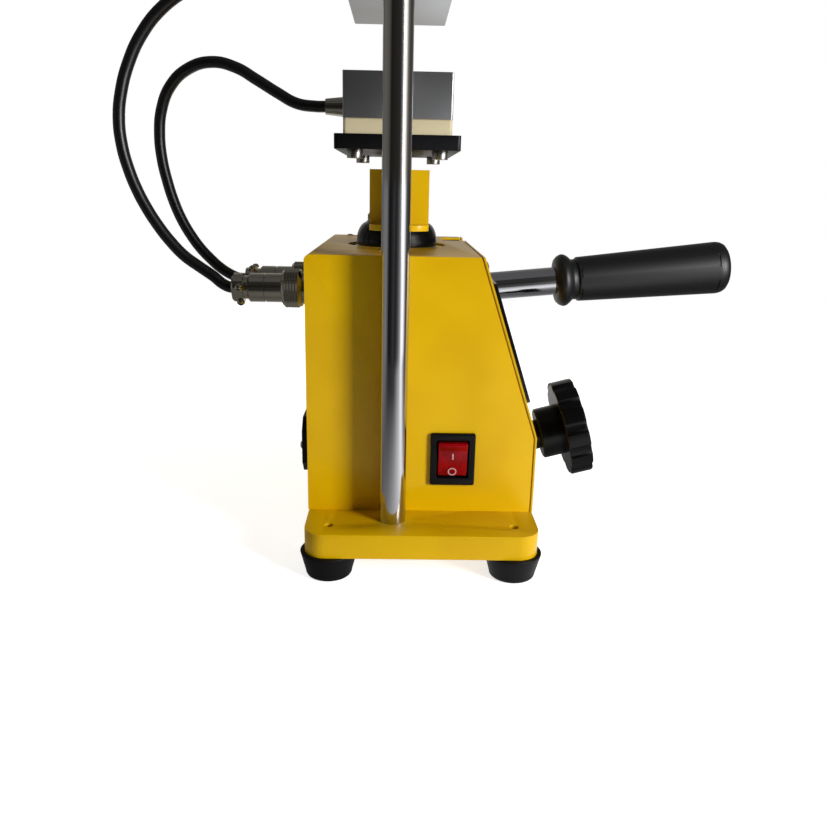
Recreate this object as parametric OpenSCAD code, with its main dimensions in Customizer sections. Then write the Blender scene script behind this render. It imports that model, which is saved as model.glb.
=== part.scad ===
// Two-column hydraulic bench press with heated platens.
// Origin on the underside of the base plate, on the ram's axis. +X points to the operator, +Z up.

/* [Base plate and feet] */
// Thickness of the base plate
base_t = 14; // [12:1:20]
// Corner radius of the base plate
base_corner = 12; // [6:1:16]
// Height of a rubber foot
foot_h = 15; // [10:1:25]
// Radius of a foot where it meets the plate
foot_top_r = 16.2; // [14:0.2:18]
// Radius of a foot at the floor
foot_floor_r = 13; // [11:0.5:14]
// Distance from the plate's edge to a foot's centre
foot_inset = 13.3; // [12:0.1:18]
// Thread diameter of a foot screw
foot_screw_d = 5; // [4:0.5:6]

/* [Columns and crossbeam] */
// Diameter of a column
column_d = 15; // [12:0.5:16]
// Gap between the housing's side and a column
column_gap = 5.5; // [4:0.5:8]
// Thickness of the crossbeam
beam_t = 26; // [20:1:40]
// Length of the crossbeam along X
beam_l = 64; // [60:1:90]
// Thread diameter at the top of a column
stud_d = 12; // [10:1:12]

/* [Housing] */
// Height of the housing above the base plate
housing_h = 146; // [142:1:170]
// Width of the housing along Y
housing_w = 180; // [176:1:184]
// Distance from the ram's axis to the rear wall
housing_rear = 49; // [46:0.5:60]
// Distance from the ram's axis to the front edge of the top
slope_top = 46; // [44:1:52]
// Distance from the ram's axis to the upright front
housing_front = 80; // [76:1:84]
// Height of the upright front above the base plate
upright_h = 45; // [40:1:52]
// Thickness of the housing sheet
sheet_t = 1.5; // [1:0.1:2]
// Outer radius of the bend between the rear and the top
bend_r = 3; // [2.2:0.1:5]
// Diameter of the hole over the jack
ram_hole_d = 62; // [56:1:64]
// Diameter of the hole for a return spring
spring_hole_d = 20; // [18:1:24]
// Gap between the housing's edge and the front cover
cover_gap = 0.8; // [0.4:0.1:1.2]
// Thickness of the front cover
cover_t = 1.1; // [0.8:0.1:2]

/* [Operator's side] */
// Width of the slot for the pump handle
handle_slot_w = 32; // [30:1:36]
// Height of the display panel along the slope
display_h = 71; // [60:1:74]
// Width of the display panel
display_w = 120; // [100:1:122]
// Thickness of the display panel
display_t = 2.5; // [1.5:0.1:3]
// Width of the rocker switch's bezel
bezel_w = 25.5; // [24:0.5:28]
// Height of the rocker switch's bezel
bezel_h = 31; // [30:0.5:33]

/* [Rear side] */
// Width of the power inlet's flange
inlet_w = 50; // [48:0.5:52]
// Height of the power inlet's flange
inlet_h = 33; // [30:0.5:34]
// Distance between the two heater sockets
socket_pitch = 45; // [40:1:52]
// Diameter of a plug's coupling nut
plug_nut_d = 24.2; // [23:0.2:26]
// Diameter of a plug's barrel
plug_barrel_d = 17.8; // [16:0.2:19]
// Diameter of a heater cable
cable_d = 7; // [6:0.5:8]

/* [Jack] */
// Outer diameter of the oil tank
tank_d = 76; // [70:1:78]
// Diameter of the ram
ram_d = 28; // [24:1:30]
// Stroke of the ram
ram_stroke = 43; // [30:1:43]
// Height of the jack's foot casting
jack_foot_h = 22; // [20:1:26]
// Diameter of the pump piston
piston_d = 14; // [12:1:16]
// Distance from the lever's pivot to the piston pin
lever_arm = 20; // [19:0.5:21]
// Angle of the handle above level at rest
handle_rest = 5.7; // [4:0.1:7]
// Travel of the handle above rest
handle_up = 34; // [20:1:34]
// Travel of the handle below rest
handle_down = 15; // [8:1:15]

/* [Handle and release knob] */
// Diameter of the handle bar
handle_d = 20; // [16:0.5:20]
// Distance from the ram's axis to the free end of the grip
handle_reach = 244; // [200:1:260]
// Length of the grip
grip_l = 131; // [110:1:140]
// Diameter of the grip at its free end
grip_d = 36.5; // [32:0.5:38]
// Outer diameter of the star knob
knob_d = 64.5; // [60:0.5:70]
// Thickness of the star knob's rim
knob_t = 14.6; // [12:0.2:16]
// Diameter of the star knob's hub
hub_d = 34.5; // [30:0.5:36]
// Length of the star knob's hub
hub_l = 15; // [12:0.5:16]
// Number of lobes on the star knob
lobes = 12; // [10:1:14]

/* [Yoke and springs] */
// Width of the guide yoke
yoke_w = 31; // [28:1:32]
// Thickness of the guide yoke
yoke_t = 3; // [2:0.5:4]
// Height of the guide yoke from its lips to its web
yoke_h = 30.5; // [28:0.5:40]
// Height of the stem between the yoke and the lower platen
stem_rise = 11; // [8:1:20]
// Gap between the housing's top and the yoke's lips
yoke_gap = 13.5; // [8:0.5:16]
// Diameter of a return spring
spring_d = 13; // [11:0.5:13]
// Wire diameter of a return spring
wire_d = 2; // [1.6:0.1:2.2]
// Number of curls on a return spring
curls = 16; // [10:1:18]

/* [Platens] */
// Length of a heated plate along X
plate_l = 60; // [56:1:64]
// Width of a heated plate along Y
plate_w = 120; // [100:1:130]
// Thickness of a heated plate
plate_t = 24; // [20:1:30]
// Thickness of an insulating board
board_t = 8; // [6:1:12]
// Thickness of a backing plate
backing_t = 8; // [6:1:12]
// Opening between the heated plates at rest
daylight = 44; // [44:1:60]

/* [Hidden] */
$fn = 64;
// One overrun for every cut
cut = 1;
// Clearance of a loose piece round a fixed one
loose = 0.3;
// Radial clearance of a running fit
running = 0.05;

// Heights of the main planes
deck_z = base_t;
top_z = deck_z + housing_h;
bend_z = deck_z + upright_h;
lip_z = top_z + yoke_gap;
web_z = lip_z + yoke_h;
stem_top_z = web_z + stem_rise;
lower_face_z = stem_top_z + backing_t + board_t + plate_t;
upper_face_z = lower_face_z + daylight;
beam_z = upper_face_z + plate_t + board_t + backing_t;
beam_top_z = beam_z + beam_t;

// The base plate is centred ahead of the ram's axis
base_rear_gap = 0.5;
base_front = 1.5;
base_l = housing_rear + housing_front + base_front - base_rear_gap;
base_x = base_l / 2 - housing_rear + base_rear_gap;
column_edge = 22;
column_pitch = housing_w + column_d + 2 * column_gap;
column_y = column_pitch / 2;
base_w = column_pitch + 2 * column_edge;
foot_x = base_l / 2 - foot_inset;
foot_y = base_w / 2 - foot_inset;

// Slope of the operator's side, measured from the upright
slope_run = housing_front - slope_top;
slope_rise = top_z - bend_z;
slope_a = atan(slope_run / slope_rise);
slope_len = norm([slope_run, slope_rise]);

// Feet and their screws
foot_round = 2.5;
foot_recess_r = 7;
foot_recess_h = 6;
foot_screw_head_h = 3.5;
foot_screw_head_d = 10;
foot_screw_reach = 11;
thread_gap = 0.1;

// Column fixings
column_screw_d = 8;
column_screw_head_d = 13;
column_screw_head_h = 8;
column_screw_reach = 18;
column_seat = 2;
washer_d = 24;
washer_t = 2.5;
nut_w = 19;
nut_h = 10;
nut_dome_r = 8.5;
beam_corner = 10;
beam_w = column_pitch + 2 * column_edge;
stud_reach = 16;
beam_screw_d = 8;
beam_screw_head_d = 13;
beam_screw_head_h = 8;
beam_screw_y = 40;
beam_screw_reach = 6;

// Platen details
backing_l = 70;
backing_w = plate_w;
platen_screw_d = 5;
platen_head_d = 9;
platen_head_h = 4.5;
platen_screw_x = 24;
platen_screw_y = 48;
platen_screw_reach = 10;
board_inset = 1;
gland_y = 15;
gland_hex = 14;
gland_hex_t = 4;
gland_l = 16;
gland_wall = 2.5;

// Housing details
lip_w = 12;
floor_lip_w = 12;
floor_lip_rear = 6;
floor_lip_front = 12;
housing_screw_d = 4;
housing_screw_head_d = 8;
housing_screw_head_h = 2.5;
housing_screw_rear = -30;
housing_screw_front = 56;
housing_screw_reach = 8;
spring_x = -1;
spring_gap = 17;
spring_y = tank_d / 2 + spring_gap;
handle_slot_rear = 32;
knob_hole_d = 26;
foot_strip_h = 14;
cover_screw_d = 3;
cover_head_d = 5.5;
cover_head_h = 1.2;
cover_screw_side = 7.5;
cover_screw_top = 5;
cover_screw_foot = 7;
cover_screw_foot_y = housing_w / 3;
cover_screw_reach = 5;
earth_screw_x = -35;
earth_screw_side = 7;

// Display panel and control board
display_top = 16;
display_edge = 6;
display_y = display_w / 2 + display_edge - housing_w / 2;
display_window_w = 40;
display_window_h = 20;
display_recess = 0.6;
display_hole_d = 5;
control_gap = 10;
control_t = 1.6;
control_margin = 8;
spacer_d = 6;
spacer_inset = 5;
relay = [16, 12, 9];

// Rocker switch
switch_x = 34;
switch_rise = 32.4;
switch_z = deck_z + switch_rise;
bezel_t = 2.2;
bezel_opening_w = 18.2;
bezel_opening_h = 22.4;
switch_body_w = 21.4;
switch_body_h = 27;
switch_body_l = 22;
button_w = 17.4;
button_h = 21;
button_tilt = 9;
button_proud = 1.2;
button_r = 17;
button_l = 9;
switch_wall = 1.2;

// Power inlet
inlet_side = 31;
inlet_rise = 36;
inlet_y = inlet_side - housing_w / 2;
inlet_z = deck_z + inlet_rise;
inlet_t = 3.7;
inlet_chamfer = 7;
inlet_body_w = 27;
inlet_body_h = 20;
inlet_body_l = 20;
socket_w = 24;
socket_h = 16.5;
socket_l = 17;
socket_cut = 4;
blade = [15, 4, 2];
blade_pitch = 7;
earth_blade_rise = 4;
inlet_screw_pitch = 40;
inlet_screw_d = 3;
inlet_head_d = 5.6;
inlet_head_h = 1.6;
inlet_screw_reach = 6;

// Heater sockets and plugs
socket_drop = 26.5;
socket_z = top_z - socket_drop;
socket_flange_d = 27;
socket_flange_t = 2;
socket_thread_d = 19.6;
socket_nose = 11;
socket_back_d = 16;
socket_back_l = 9;
socket_nut_t = 3;
nut_start = 9;
nut_l = 12;
nut_knurls = 30;
knurl_depth = 0.7;
barrel_l = 21;
barrel_rings = 3;
ring_step = 5;
ring_groove = 0.6;
clamp_l = 10;
clamp_w = 15;
clamp_screw_d = 3;
clamp_head_d = 5;
clamp_head_h = 2.4;
clamp_screw_side = 5.6;
clamp_rise = 2;
left_clamp_turn = -120;

// Jack castings
jack_foot_rear = 42;
jack_foot_front = 58;
jack_foot_left = 42;
jack_foot_side = 14.5;
jack_foot_right = housing_w / 2 - jack_foot_side;
jack_foot_corner = 8;
jack_screw_d = 6;
jack_screw_head_d = 10;
jack_screw_head_h = 6;
jack_screw_inset = 6.5;
tank_wall = 3;
cylinder_wall = 8;
nut_skirt = 12;
neck_h = 20;
dome_r = 25.6;
dome_neck_r = 18.6;
dome_h = 11.8;
dome_base_up = 2;
neck_chamfer = 2;
ram_floor = 8;
ram_head_d = 30;
ram_head_h = 10;
bolt_d = 8;
bolt_head_d = 15;
bolt_head_h = 4.5;
bolt_reach = 13;

// Pump and lever
lever_side = 29;
lever_y = housing_w / 2 - lever_side;
pivot_x = 16;
pivot_drop = 40;
pivot_z = top_z - pivot_drop + pivot_x * tan(handle_rest);
pin_rest_z = pivot_z + lever_arm * tan(handle_rest);
piston_x = pivot_x + lever_arm;
post_w = 12;
post_l = 14;
pivot_pin_d = 8;
piston_pin_d = 6;
pin_play = 1.2;
cheek_t = 3.5;
cheek_r = 7;
socket_start = 34;
socket_end = 50;
socket_wall = 3;
pump_wall = 5;
pump_h = 66;
piston_depth = 40;
pump_sump = 8;
eye_r = 7;
bar_start = 37;

// Handle grip
grip_ring_d = 37.5;
grip_ring_t = 12;
grip_neck_d = 29;
grip_neck_l = 4;
grip_front_d = 32;
grip_round = 7;
grip_ring_bevel = 3;
grip_step = 1;
grip_groove = 0.5;
grip_groove_w = 1.2;
grip_groove_count = 3;
grip_groove_step = 3;
bar_end_gap = 6;

// Release valve and star knob
valve_a = 15;
valve_x = 99.2;
valve_rise = 19.6;
valve_z = deck_z + valve_rise;
boss_d = 20;
boss_l = 14;
stem_d = 10;
stem_l = 56;
stem_grip = 10;
flute_r = 6.4;
flute_depth = 1.6;

// Yoke
yoke_x = 1.5;
platen_stem_d = 16;
leg_y = housing_w / 2;
lip_inset = 2;
lip_corner = 9;
notch_gap = 0.4;
stud_head_d = 10;
stud_head_h = 7;
anchor_stem_l = 9;
spring_top_gap = 17;
spring_pitch = 4.2;

// Points along the two heater cables, from the plug to the gland
upper_route = [[-101, -22.5, 133.5], [-103, -22.5, 133.5], [-107.5, -22.5, 135.5], [-113, -22.5, 140], [-121, -22.5, 145.5],
    [-130, -22.5, 152], [-138, -22.5, 160.5], [-145, -22.5, 170], [-151, -22.5, 180], [-156, -22.5, 190.5],
    [-160, -22.5, 202], [-163, -22.5, 216], [-163.5, -22.5, 231], [-161, -22, 246], [-156, -21, 261],
    [-148, -20, 276], [-136, -19, 290], [-120, -18, 301], [-101, -17, 308.5], [-82, -16, 312],
    [-66, -15, 311.5], [-52, -15, 311], [-46, -15, 311]];
lower_route = [[-101, 22.5, 133.5], [-103, 22.5, 133.5], [-107.5, 22.5, 134.5], [-113, 22.5, 137], [-119, 22.5, 141],
    [-125, 22.5, 146.5], [-131, 22.5, 153], [-137, 22.5, 161.5], [-142.5, 22.5, 171.5], [-147, 22.5, 183],
    [-150.5, 22.5, 196], [-153, 22.5, 210], [-153.5, 22.5, 225], [-151, 22, 240], [-144, 21, 254],
    [-132, 20, 264], [-117, 19, 268], [-102, 18, 265], [-89, 17, 258], [-76, 16, 250.5],
    [-64, 15, 244.5], [-52, 15, 243], [-46, 15, 243]];
cable_sides = 10;

// Distance of the front face of a sheet laid d outside the housing's front edge, at height z
function front_at(z, d) = slope_top + (top_z - z) * slope_run / slope_rise + d / cos(slope_a);
function bend_at(d) = top_z - (slope_run + d - d / cos(slope_a)) * slope_rise / slope_run;

// Outline of a sheet between two offsets from the housing's front edge, from z0 to z1
function front_outline(d0, d1, z0, z1) = [
    [front_at(z1, d0), z1], [front_at(z1, d1), z1], [housing_front + d1, bend_at(d1)],
    [housing_front + d1, z0], [housing_front + d0, z0], [housing_front + d0, bend_at(d0)]];

// Rounded rectangle, its corners as arcs
module rounded(l, w, r) {
    for (turn = [0, 1]) square([l - 2 * r * turn, w - 2 * r * (1 - turn)], center = true);
    for (x = [-1, 1], y = [-1, 1]) translate([x * (l / 2 - r), y * (w / 2 - r)]) circle(r);
}

// Extrudes an outline drawn in X and Z along Y, centred
module across(w) {
    translate([0, w / 2, 0]) rotate([90, 0, 0]) linear_extrude(w) children();
}

// Places children at the two mirrored Y places
module both_sides(y) {
    for (side = [-1, 1]) translate([0, side * y, 0]) children();
}

// Lays a solid that stands on Z along -X, out of the rear wall
module rearward() {
    rotate([0, -90, 0]) children();
}

// Frame of the sloped front: origin on its top edge, X down the slope, Z outwards
module on_slope(d) {
    translate([front_at(top_z, d), 0, top_z]) rotate([0, 90 - slope_a, 0]) children();
}

// Frame of the release valve: origin on the hub's rear face, Z towards the operator
module on_valve() {
    translate([valve_x, 0, valve_z]) rotate([0, 90 - valve_a, 0]) children();
}

// Frame of the lever at rest: origin at its pivot, X along the handle
module on_lever() {
    translate([pivot_x, lever_y, pivot_z]) rotate([0, -handle_rest, 0]) children();
}

// Socket head screw, its head on top of Z zero
module cap_screw(d, head_d, head_h, reach) {
    translate([0, 0, -reach]) cylinder(d = d, h = reach);
    difference() {
        cylinder(d = head_d, h = head_h);
        translate([0, 0, head_h / 2]) cylinder(d = d, h = head_h / 2 + cut, $fn = 6);
    }
}

// Countersunk screw, its head flush with Z zero
module flush_screw(d, head_d, head_h, reach) {
    difference() {
        union() {
            translate([0, 0, -reach]) cylinder(d = d, h = reach);
            translate([0, 0, -head_h]) cylinder(d1 = d, d2 = head_d, h = head_h);
        }
        translate([0, 0, -head_h / 2]) cylinder(d = d / 2, h = head_h, $fn = 6);
    }
}

// Round-headed screw, its head on top of Z zero
module pan_screw(d, head_d, head_h, reach) {
    translate([0, 0, -reach]) cylinder(d = d, h = reach + head_h / 2);
    difference() {
        rotate_extrude() intersection() {
            scale_to_head(head_d, head_h);
            square([head_d, head_h]);
        }
        translate([0, 0, head_h]) cross(head_d / 2, head_d / 8, head_h / 2);
    }
}

// Half outline of a low domed head
module scale_to_head(head_d, head_h) {
    dome_radius = (head_d * head_d / 4 + head_h * head_h) / (2 * head_h);
    translate([0, head_h - dome_radius]) circle(dome_radius);
}

// Cross recess
module cross(l, w, depth) {
    for (turn = [0, 90]) rotate(turn) cube([l, w, 2 * depth], center = true);
}

module feet_places() {
    for (x = [-1, 1], y = [-1, 1]) translate([base_x + x * foot_x, y * foot_y, 0]) children();
}

module base_plate() {
    color("gold") difference() {
        translate([base_x, 0, 0]) linear_extrude(base_t) rounded(base_l, base_w, base_corner);
        feet_places() translate([0, 0, -cut]) cylinder(d = foot_screw_d, h = base_t + 2 * cut);
        both_sides(column_y) {
            translate([0, 0, -cut]) cylinder(d = column_screw_d + 2 * loose, h = base_t + 2 * cut);
            translate([0, 0, -cut])
                cylinder(d = column_screw_head_d + 2 * loose, h = column_screw_head_h + cut);
            translate([0, 0, base_t - column_seat]) cylinder(d = column_d + 2 * running, h = column_seat + cut);
        }
        jack_screw_places() translate([0, 0, -cut])
            cylinder(d = jack_screw_d + thread_gap, h = base_t + 2 * cut);
        housing_screw_places() translate([0, 0, base_t - housing_screw_reach])
            cylinder(d = housing_screw_d + thread_gap, h = housing_screw_reach + cut);
        spring_places() translate([0, 0, base_t - anchor_stem_l])
            cylinder(d = 2 * wire_d + thread_gap, h = anchor_stem_l + cut);
    }
}

module rubber_feet() {
    color("#1a1a1a") feet_places() translate([0, 0, -foot_h]) difference() {
        rotate_extrude() difference() {
            union() {
                polygon([[0, 0], [foot_floor_r - foot_round, 0], [foot_floor_r, foot_round],
                    [foot_top_r, foot_h], [0, foot_h]]);
                translate([foot_floor_r - foot_round, foot_round]) circle(foot_round, $fn = 32);
            }
        }
        translate([0, 0, -cut]) cylinder(r = foot_recess_r, h = foot_recess_h + cut);
        cylinder(d = foot_screw_d + 2 * loose, h = foot_h + cut);
    }
}

module foot_screws() {
    color("silver") feet_places() translate([0, 0, foot_recess_h - foot_h]) mirror([0, 0, 1])
        cap_screw(foot_screw_d - thread_gap, foot_screw_head_d, foot_screw_head_h,
            foot_h - foot_recess_h + foot_screw_reach);
}

// A column stands in a shallow seat, and its stud end carries the crossbeam
module column() {
    difference() {
        union() {
            translate([0, 0, deck_z - column_seat]) cylinder(d = column_d, h = beam_z - deck_z + column_seat);
            translate([0, 0, beam_z]) cylinder(d = stud_d, h = beam_t + stud_reach);
        }
        translate([0, 0, deck_z - column_seat - cut])
            cylinder(d = column_screw_d, h = column_screw_reach + cut);
    }
}

module left_column() {
    color("silver") translate([0, -column_y, 0]) column();
}

module right_column() {
    color("silver") translate([0, column_y, 0]) column();
}

module column_screws() {
    color("dimgray") both_sides(column_y) translate([0, 0, column_screw_head_h]) mirror([0, 0, 1])
        cap_screw(column_screw_d - thread_gap, column_screw_head_d, column_screw_head_h - loose,
            column_screw_reach);
}

module column_washers() {
    color("silver") both_sides(column_y) translate([0, 0, beam_top_z]) difference() {
        cylinder(d = washer_d, h = washer_t);
        translate([0, 0, -cut]) cylinder(d = stud_d + 2 * loose, h = washer_t + 2 * cut);
    }
}

// Domed cap nuts
module column_nuts() {
    color("silver") both_sides(column_y) translate([0, 0, beam_top_z + washer_t]) difference() {
        union() {
            cylinder(d = nut_w / cos(180 / 6), h = nut_h, $fn = 6);
            translate([0, 0, nut_h]) intersection() {
                sphere(nut_dome_r);
                cylinder(r = nut_dome_r, h = nut_dome_r);
            }
        }
        translate([0, 0, -cut]) cylinder(d = stud_d + thread_gap, h = stud_reach - washer_t + loose + cut);
    }
}

module beam_screw_places() {
    both_sides(beam_screw_y) children();
}

module crossbeam() {
    color("gold") difference() {
        translate([0, 0, beam_z]) linear_extrude(beam_t) rounded(beam_l, beam_w, beam_corner);
        both_sides(column_y) translate([0, 0, beam_z - cut])
            cylinder(d = stud_d + 2 * running, h = beam_t + 2 * cut);
        beam_screw_places() {
            translate([0, 0, beam_z - cut]) cylinder(d = beam_screw_d + 2 * loose, h = beam_t + 2 * cut);
            translate([0, 0, beam_top_z - beam_screw_head_h])
                cylinder(d = beam_screw_head_d + 2 * loose, h = beam_screw_head_h + cut);
        }
    }
}

module beam_screws() {
    color("dimgray") beam_screw_places() translate([0, 0, beam_top_z - beam_screw_head_h])
        cap_screw(beam_screw_d - thread_gap, beam_screw_head_d, beam_screw_head_h,
            beam_t - beam_screw_head_h + beam_screw_reach);
}

module platen_screw_places() {
    for (x = [-1, 1], y = [-1, 1]) translate([x * platen_screw_x, y * platen_screw_y, 0]) children();
}

// Slab of a platen stack, drilled for its screws
module platen_slab(l, w, t, hole_d) {
    difference() {
        linear_extrude(t) rounded(l, w, board_inset * 2);
        platen_screw_places() translate([0, 0, -cut]) cylinder(d = hole_d, h = t + 2 * cut);
    }
}

module upper_backing_plate() {
    color("dimgray") translate([0, 0, beam_z - backing_t]) difference() {
        platen_slab(backing_l, backing_w, backing_t, platen_screw_d + 2 * loose);
        beam_screw_places() translate([0, 0, backing_t - beam_screw_reach])
            cylinder(d = beam_screw_d, h = beam_screw_reach + cut);
        platen_screw_places() translate([0, 0, backing_t - platen_head_h])
            cylinder(d1 = platen_screw_d, d2 = platen_head_d + 2 * loose, h = platen_head_h + thread_gap);
    }
}

module upper_insulator() {
    color("#d8d2c0") translate([0, 0, beam_z - backing_t - board_t])
        platen_slab(plate_l, plate_w - 2 * board_inset, board_t, platen_screw_d + 2 * loose);
}

// Heated plate with its screw bores in the back
module heated_plate() {
    difference() {
        linear_extrude(plate_t) rounded(plate_l, plate_w, board_inset);
        platen_screw_places() translate([0, 0, -cut])
            cylinder(d = platen_screw_d, h = platen_screw_reach + cut);
    }
}

module upper_heated_plate() {
    color("lightgray") translate([0, 0, upper_face_z + plate_t]) rotate([180, 0, 0]) heated_plate();
}

module upper_platen_screws() {
    color("silver") translate([0, 0, beam_z]) platen_screw_places()
        flush_screw(platen_screw_d - thread_gap, platen_head_d, platen_head_h,
            backing_t + board_t + platen_screw_reach - cut);
}

// Cable gland on the rear edge of a heated plate
module gland() {
    rearward() {
        cylinder(d = gland_hex / cos(180 / 6), h = gland_hex_t, $fn = 6);
        translate([0, 0, gland_hex_t]) cylinder(d1 = cable_d + 2 * gland_wall, d2 = cable_d + gland_wall,
            h = gland_l - gland_hex_t);
    }
}

module upper_cable_gland() {
    color("gainsboro") translate([-plate_l / 2, -gland_y, upper_face_z + plate_t / 2]) gland();
}

module lower_backing_plate() {
    color("dimgray") translate([0, 0, stem_top_z]) difference() {
        platen_slab(backing_l, backing_w, backing_t, platen_screw_d + 2 * loose);
        translate([0, 0, -cut]) cylinder(d = bolt_d + 2 * loose, h = backing_t + 2 * cut);
        translate([0, 0, backing_t - bolt_head_h])
            cylinder(d1 = bolt_d + 2 * loose, d2 = bolt_head_d + 2 * loose, h = bolt_head_h + thread_gap);
    }
}

module lower_insulator() {
    color("#d8d2c0") translate([0, 0, stem_top_z + backing_t])
        platen_slab(plate_l, plate_w - 2 * board_inset, board_t, platen_screw_d + 2 * loose);
}

module lower_heated_plate() {
    color("lightgray") translate([0, 0, lower_face_z - plate_t]) heated_plate();
}

module lower_platen_screws() {
    color("silver") translate([0, 0, stem_top_z]) platen_screw_places() mirror([0, 0, 1])
        cap_screw(platen_screw_d - thread_gap, platen_head_d, platen_head_h,
            backing_t + board_t + platen_screw_reach - cut);
}

module lower_cable_gland() {
    color("gainsboro") translate([-plate_l / 2, gland_y, lower_face_z - plate_t / 2]) gland();
}

// Unit direction of a route at point i
function along(route, i) =
    let (a = route[max(i - 1, 0)], b = route[min(i + 1, len(route) - 1)]) (b - a) / norm(b - a);

// Ring of points round a route at point i, square to it, counted from Y or from the spring's radius
function ring(route, i, r, sides, radial) =
    let (t = along(route, i), p = route[i], out = norm([p[0], p[1]]) > 0 ? [p[0], p[1], 0] : [1, 0, 0],
        from = radial ? out / norm(out) : [0, 1, 0],
        w = from - (from * t) * t, u = w / norm(w), v = cross(t, u))
    [for (k = [0 : sides - 1]) p + r * (cos(k * 360 / sides) * u + sin(k * 360 / sides) * v)];

// Tube swept along a route
module tube(route, r, sides, radial = false) {
    rings = [for (i = [0 : len(route) - 1]) ring(route, i, r, sides, radial)];
    points = [for (one = rings) for (p = one) p];
    last = (len(route) - 1) * sides;
    walls = [for (i = [0 : len(route) - 2], k = [0 : sides - 1])
        let (a = i * sides + k, b = i * sides + (k + 1) % sides) each [
            [a, b, b + sides], [a, b + sides, a + sides]]];
    start = [for (k = [1 : sides - 2]) [0, k + 1, k]];
    finish = [for (k = [1 : sides - 2]) [last, last + k, last + k + 1]];
    polyhedron(points, concat(walls, start, finish));
}

module upper_heater_cable() {
    color("#111111") tube(upper_route, cable_d / 2, cable_sides);
}

module lower_heater_cable() {
    color("#111111") tube(lower_route, cable_d / 2, cable_sides);
}

// Folded yoke: a web under the lower platen, two legs, and lips notched round the columns
module guide_yoke() {
    lip_end = column_y - lip_inset;
    color("gold") difference() {
        translate([yoke_x - yoke_w / 2, 0, 0]) rotate([90, 0, 90]) linear_extrude(yoke_w) {
            translate([-leg_y, web_z - yoke_t]) square([2 * leg_y, yoke_t]);
            for (side = [-1, 1]) mirror([side < 0 ? 1 : 0, 0]) {
                translate([leg_y - yoke_t, lip_z]) square([yoke_t, yoke_h]);
                translate([leg_y - yoke_t, lip_z]) square([lip_end - leg_y + yoke_t, yoke_t]);
            }
        }
        both_sides(column_y) translate([0, 0, lip_z - cut])
            cylinder(d = column_d + 2 * notch_gap, h = yoke_t + 2 * cut);
        for (x = [0, 1], y = [0, 1]) translate([yoke_x, 0, lip_z - cut]) mirror([x, 0, 0]) mirror([0, y, 0])
            translate([yoke_w / 2 - lip_corner, lip_end - lip_corner, 0]) difference() {
                cube([lip_corner + cut, lip_corner + cut, yoke_t + 2 * cut]);
                translate([0, 0, -cut]) cylinder(r = lip_corner, h = yoke_t + 4 * cut);
            }
        translate([0, 0, web_z - yoke_t - cut]) cylinder(d = bolt_d + 2 * loose, h = yoke_t + 2 * cut);
        spring_places() translate([0, 0, web_z - yoke_t - cut])
            cylinder(d = 2 * wire_d + thread_gap, h = yoke_t + 2 * cut);
    }
}

// Stem that lifts the lower platen off the yoke
module platen_stem() {
    color("silver") translate([0, 0, web_z]) difference() {
        cylinder(d = platen_stem_d, h = stem_rise);
        translate([0, 0, -cut]) cylinder(d = bolt_d + 2 * loose, h = stem_rise + 2 * cut);
    }
}

module yoke_bolt() {
    color("dimgray") translate([0, 0, stem_top_z + backing_t])
        flush_screw(bolt_d - thread_gap, bolt_head_d, bolt_head_h, backing_t + stem_rise + yoke_t + bolt_reach);
}

module spring_places() {
    for (side = [-1, 1]) translate([spring_x, side * spring_y, 0]) children();
}

// Stud that holds a spring's end: a stem in the plate above and a head below
module spring_stud(stem_l) {
    cylinder(d = 2 * wire_d, h = stem_l);
    translate([0, 0, -stud_head_h]) cylinder(d = stud_head_d, h = stud_head_h);
}

module upper_spring_studs() {
    color("silver") spring_places() translate([0, 0, web_z - yoke_t]) spring_stud(yoke_t);
}

module lower_spring_studs() {
    color("silver") spring_places() translate([0, 0, deck_z]) mirror([0, 0, 1]) spring_stud(anchor_stem_l);
}

// Centre line of a return spring from the top down: leg, spiral, curls, spiral and leg
spring_r = (spring_d - wire_d) / 2;
spring_high = web_z - yoke_t - spring_top_gap;
spring_low = spring_high - curls * spring_pitch;
leg_high = web_z - yoke_t - stud_head_h;
leg_low = deck_z + stud_head_h;
curl_rings = 8;
wire_sides = 6;
leg_steps = 3;
spiral_steps = 4;
spiral_rise = 0.9;
function spiral(j) = let (a = -j * 45, r = spring_r * (1 - j / spiral_steps)) [r * cos(a), r * sin(a)];
leg_start = spring_low - spiral_steps * spiral_rise;
spring_route = concat(
    [[0, 0, leg_high], [0, 0, spring_high + spiral_steps * spiral_rise]],
    [for (j = [spiral_steps - 1 : -1 : 1]) [spiral(j)[0], spiral(j)[1], spring_high + j * spiral_rise]],
    [for (i = [0 : curls * curl_rings]) let (a = i * 360 / curl_rings)
        [spring_r * cos(a), spring_r * sin(a), spring_high - i * spring_pitch / curl_rings]],
    [for (j = [1 : spiral_steps - 1]) [spiral(j)[0], -spiral(j)[1], spring_low - j * spiral_rise]],
    [for (i = [0 : leg_steps]) [0, 0, leg_start - i * (leg_start - leg_low) / leg_steps]]);
echo(least_gap_of_spring_to_itself = spring_pitch * cos(atan(spring_pitch / (2 * PI * spring_r))) - wire_d);

module return_springs() {
    color("silver") spring_places() tube(spring_route, wire_d / 2, wire_sides, true);
}

// Side outline of the housing between its walls, shrunk by t, with a rounded rear top corner
module housing_outline(t, r) {
    rear = -housing_rear + t;
    high = top_z - t;
    steps = 6;
    slope_x = front_at(high, -t);
    polygon(concat(
        [[rear, deck_z], [rear, high - r]],
        [for (i = [1 : steps]) let (a = 180 - i * 90 / steps) [rear + r + r * cos(a), high - r + r * sin(a)]],
        [[slope_x, high], [housing_front - t, bend_at(-t)], [housing_front - t, deck_z]]));
}

module knob_hole() {
    on_valve() translate([0, 0, -stem_l]) cylinder(d = knob_hole_d, h = stem_l + boss_l);
}

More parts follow.
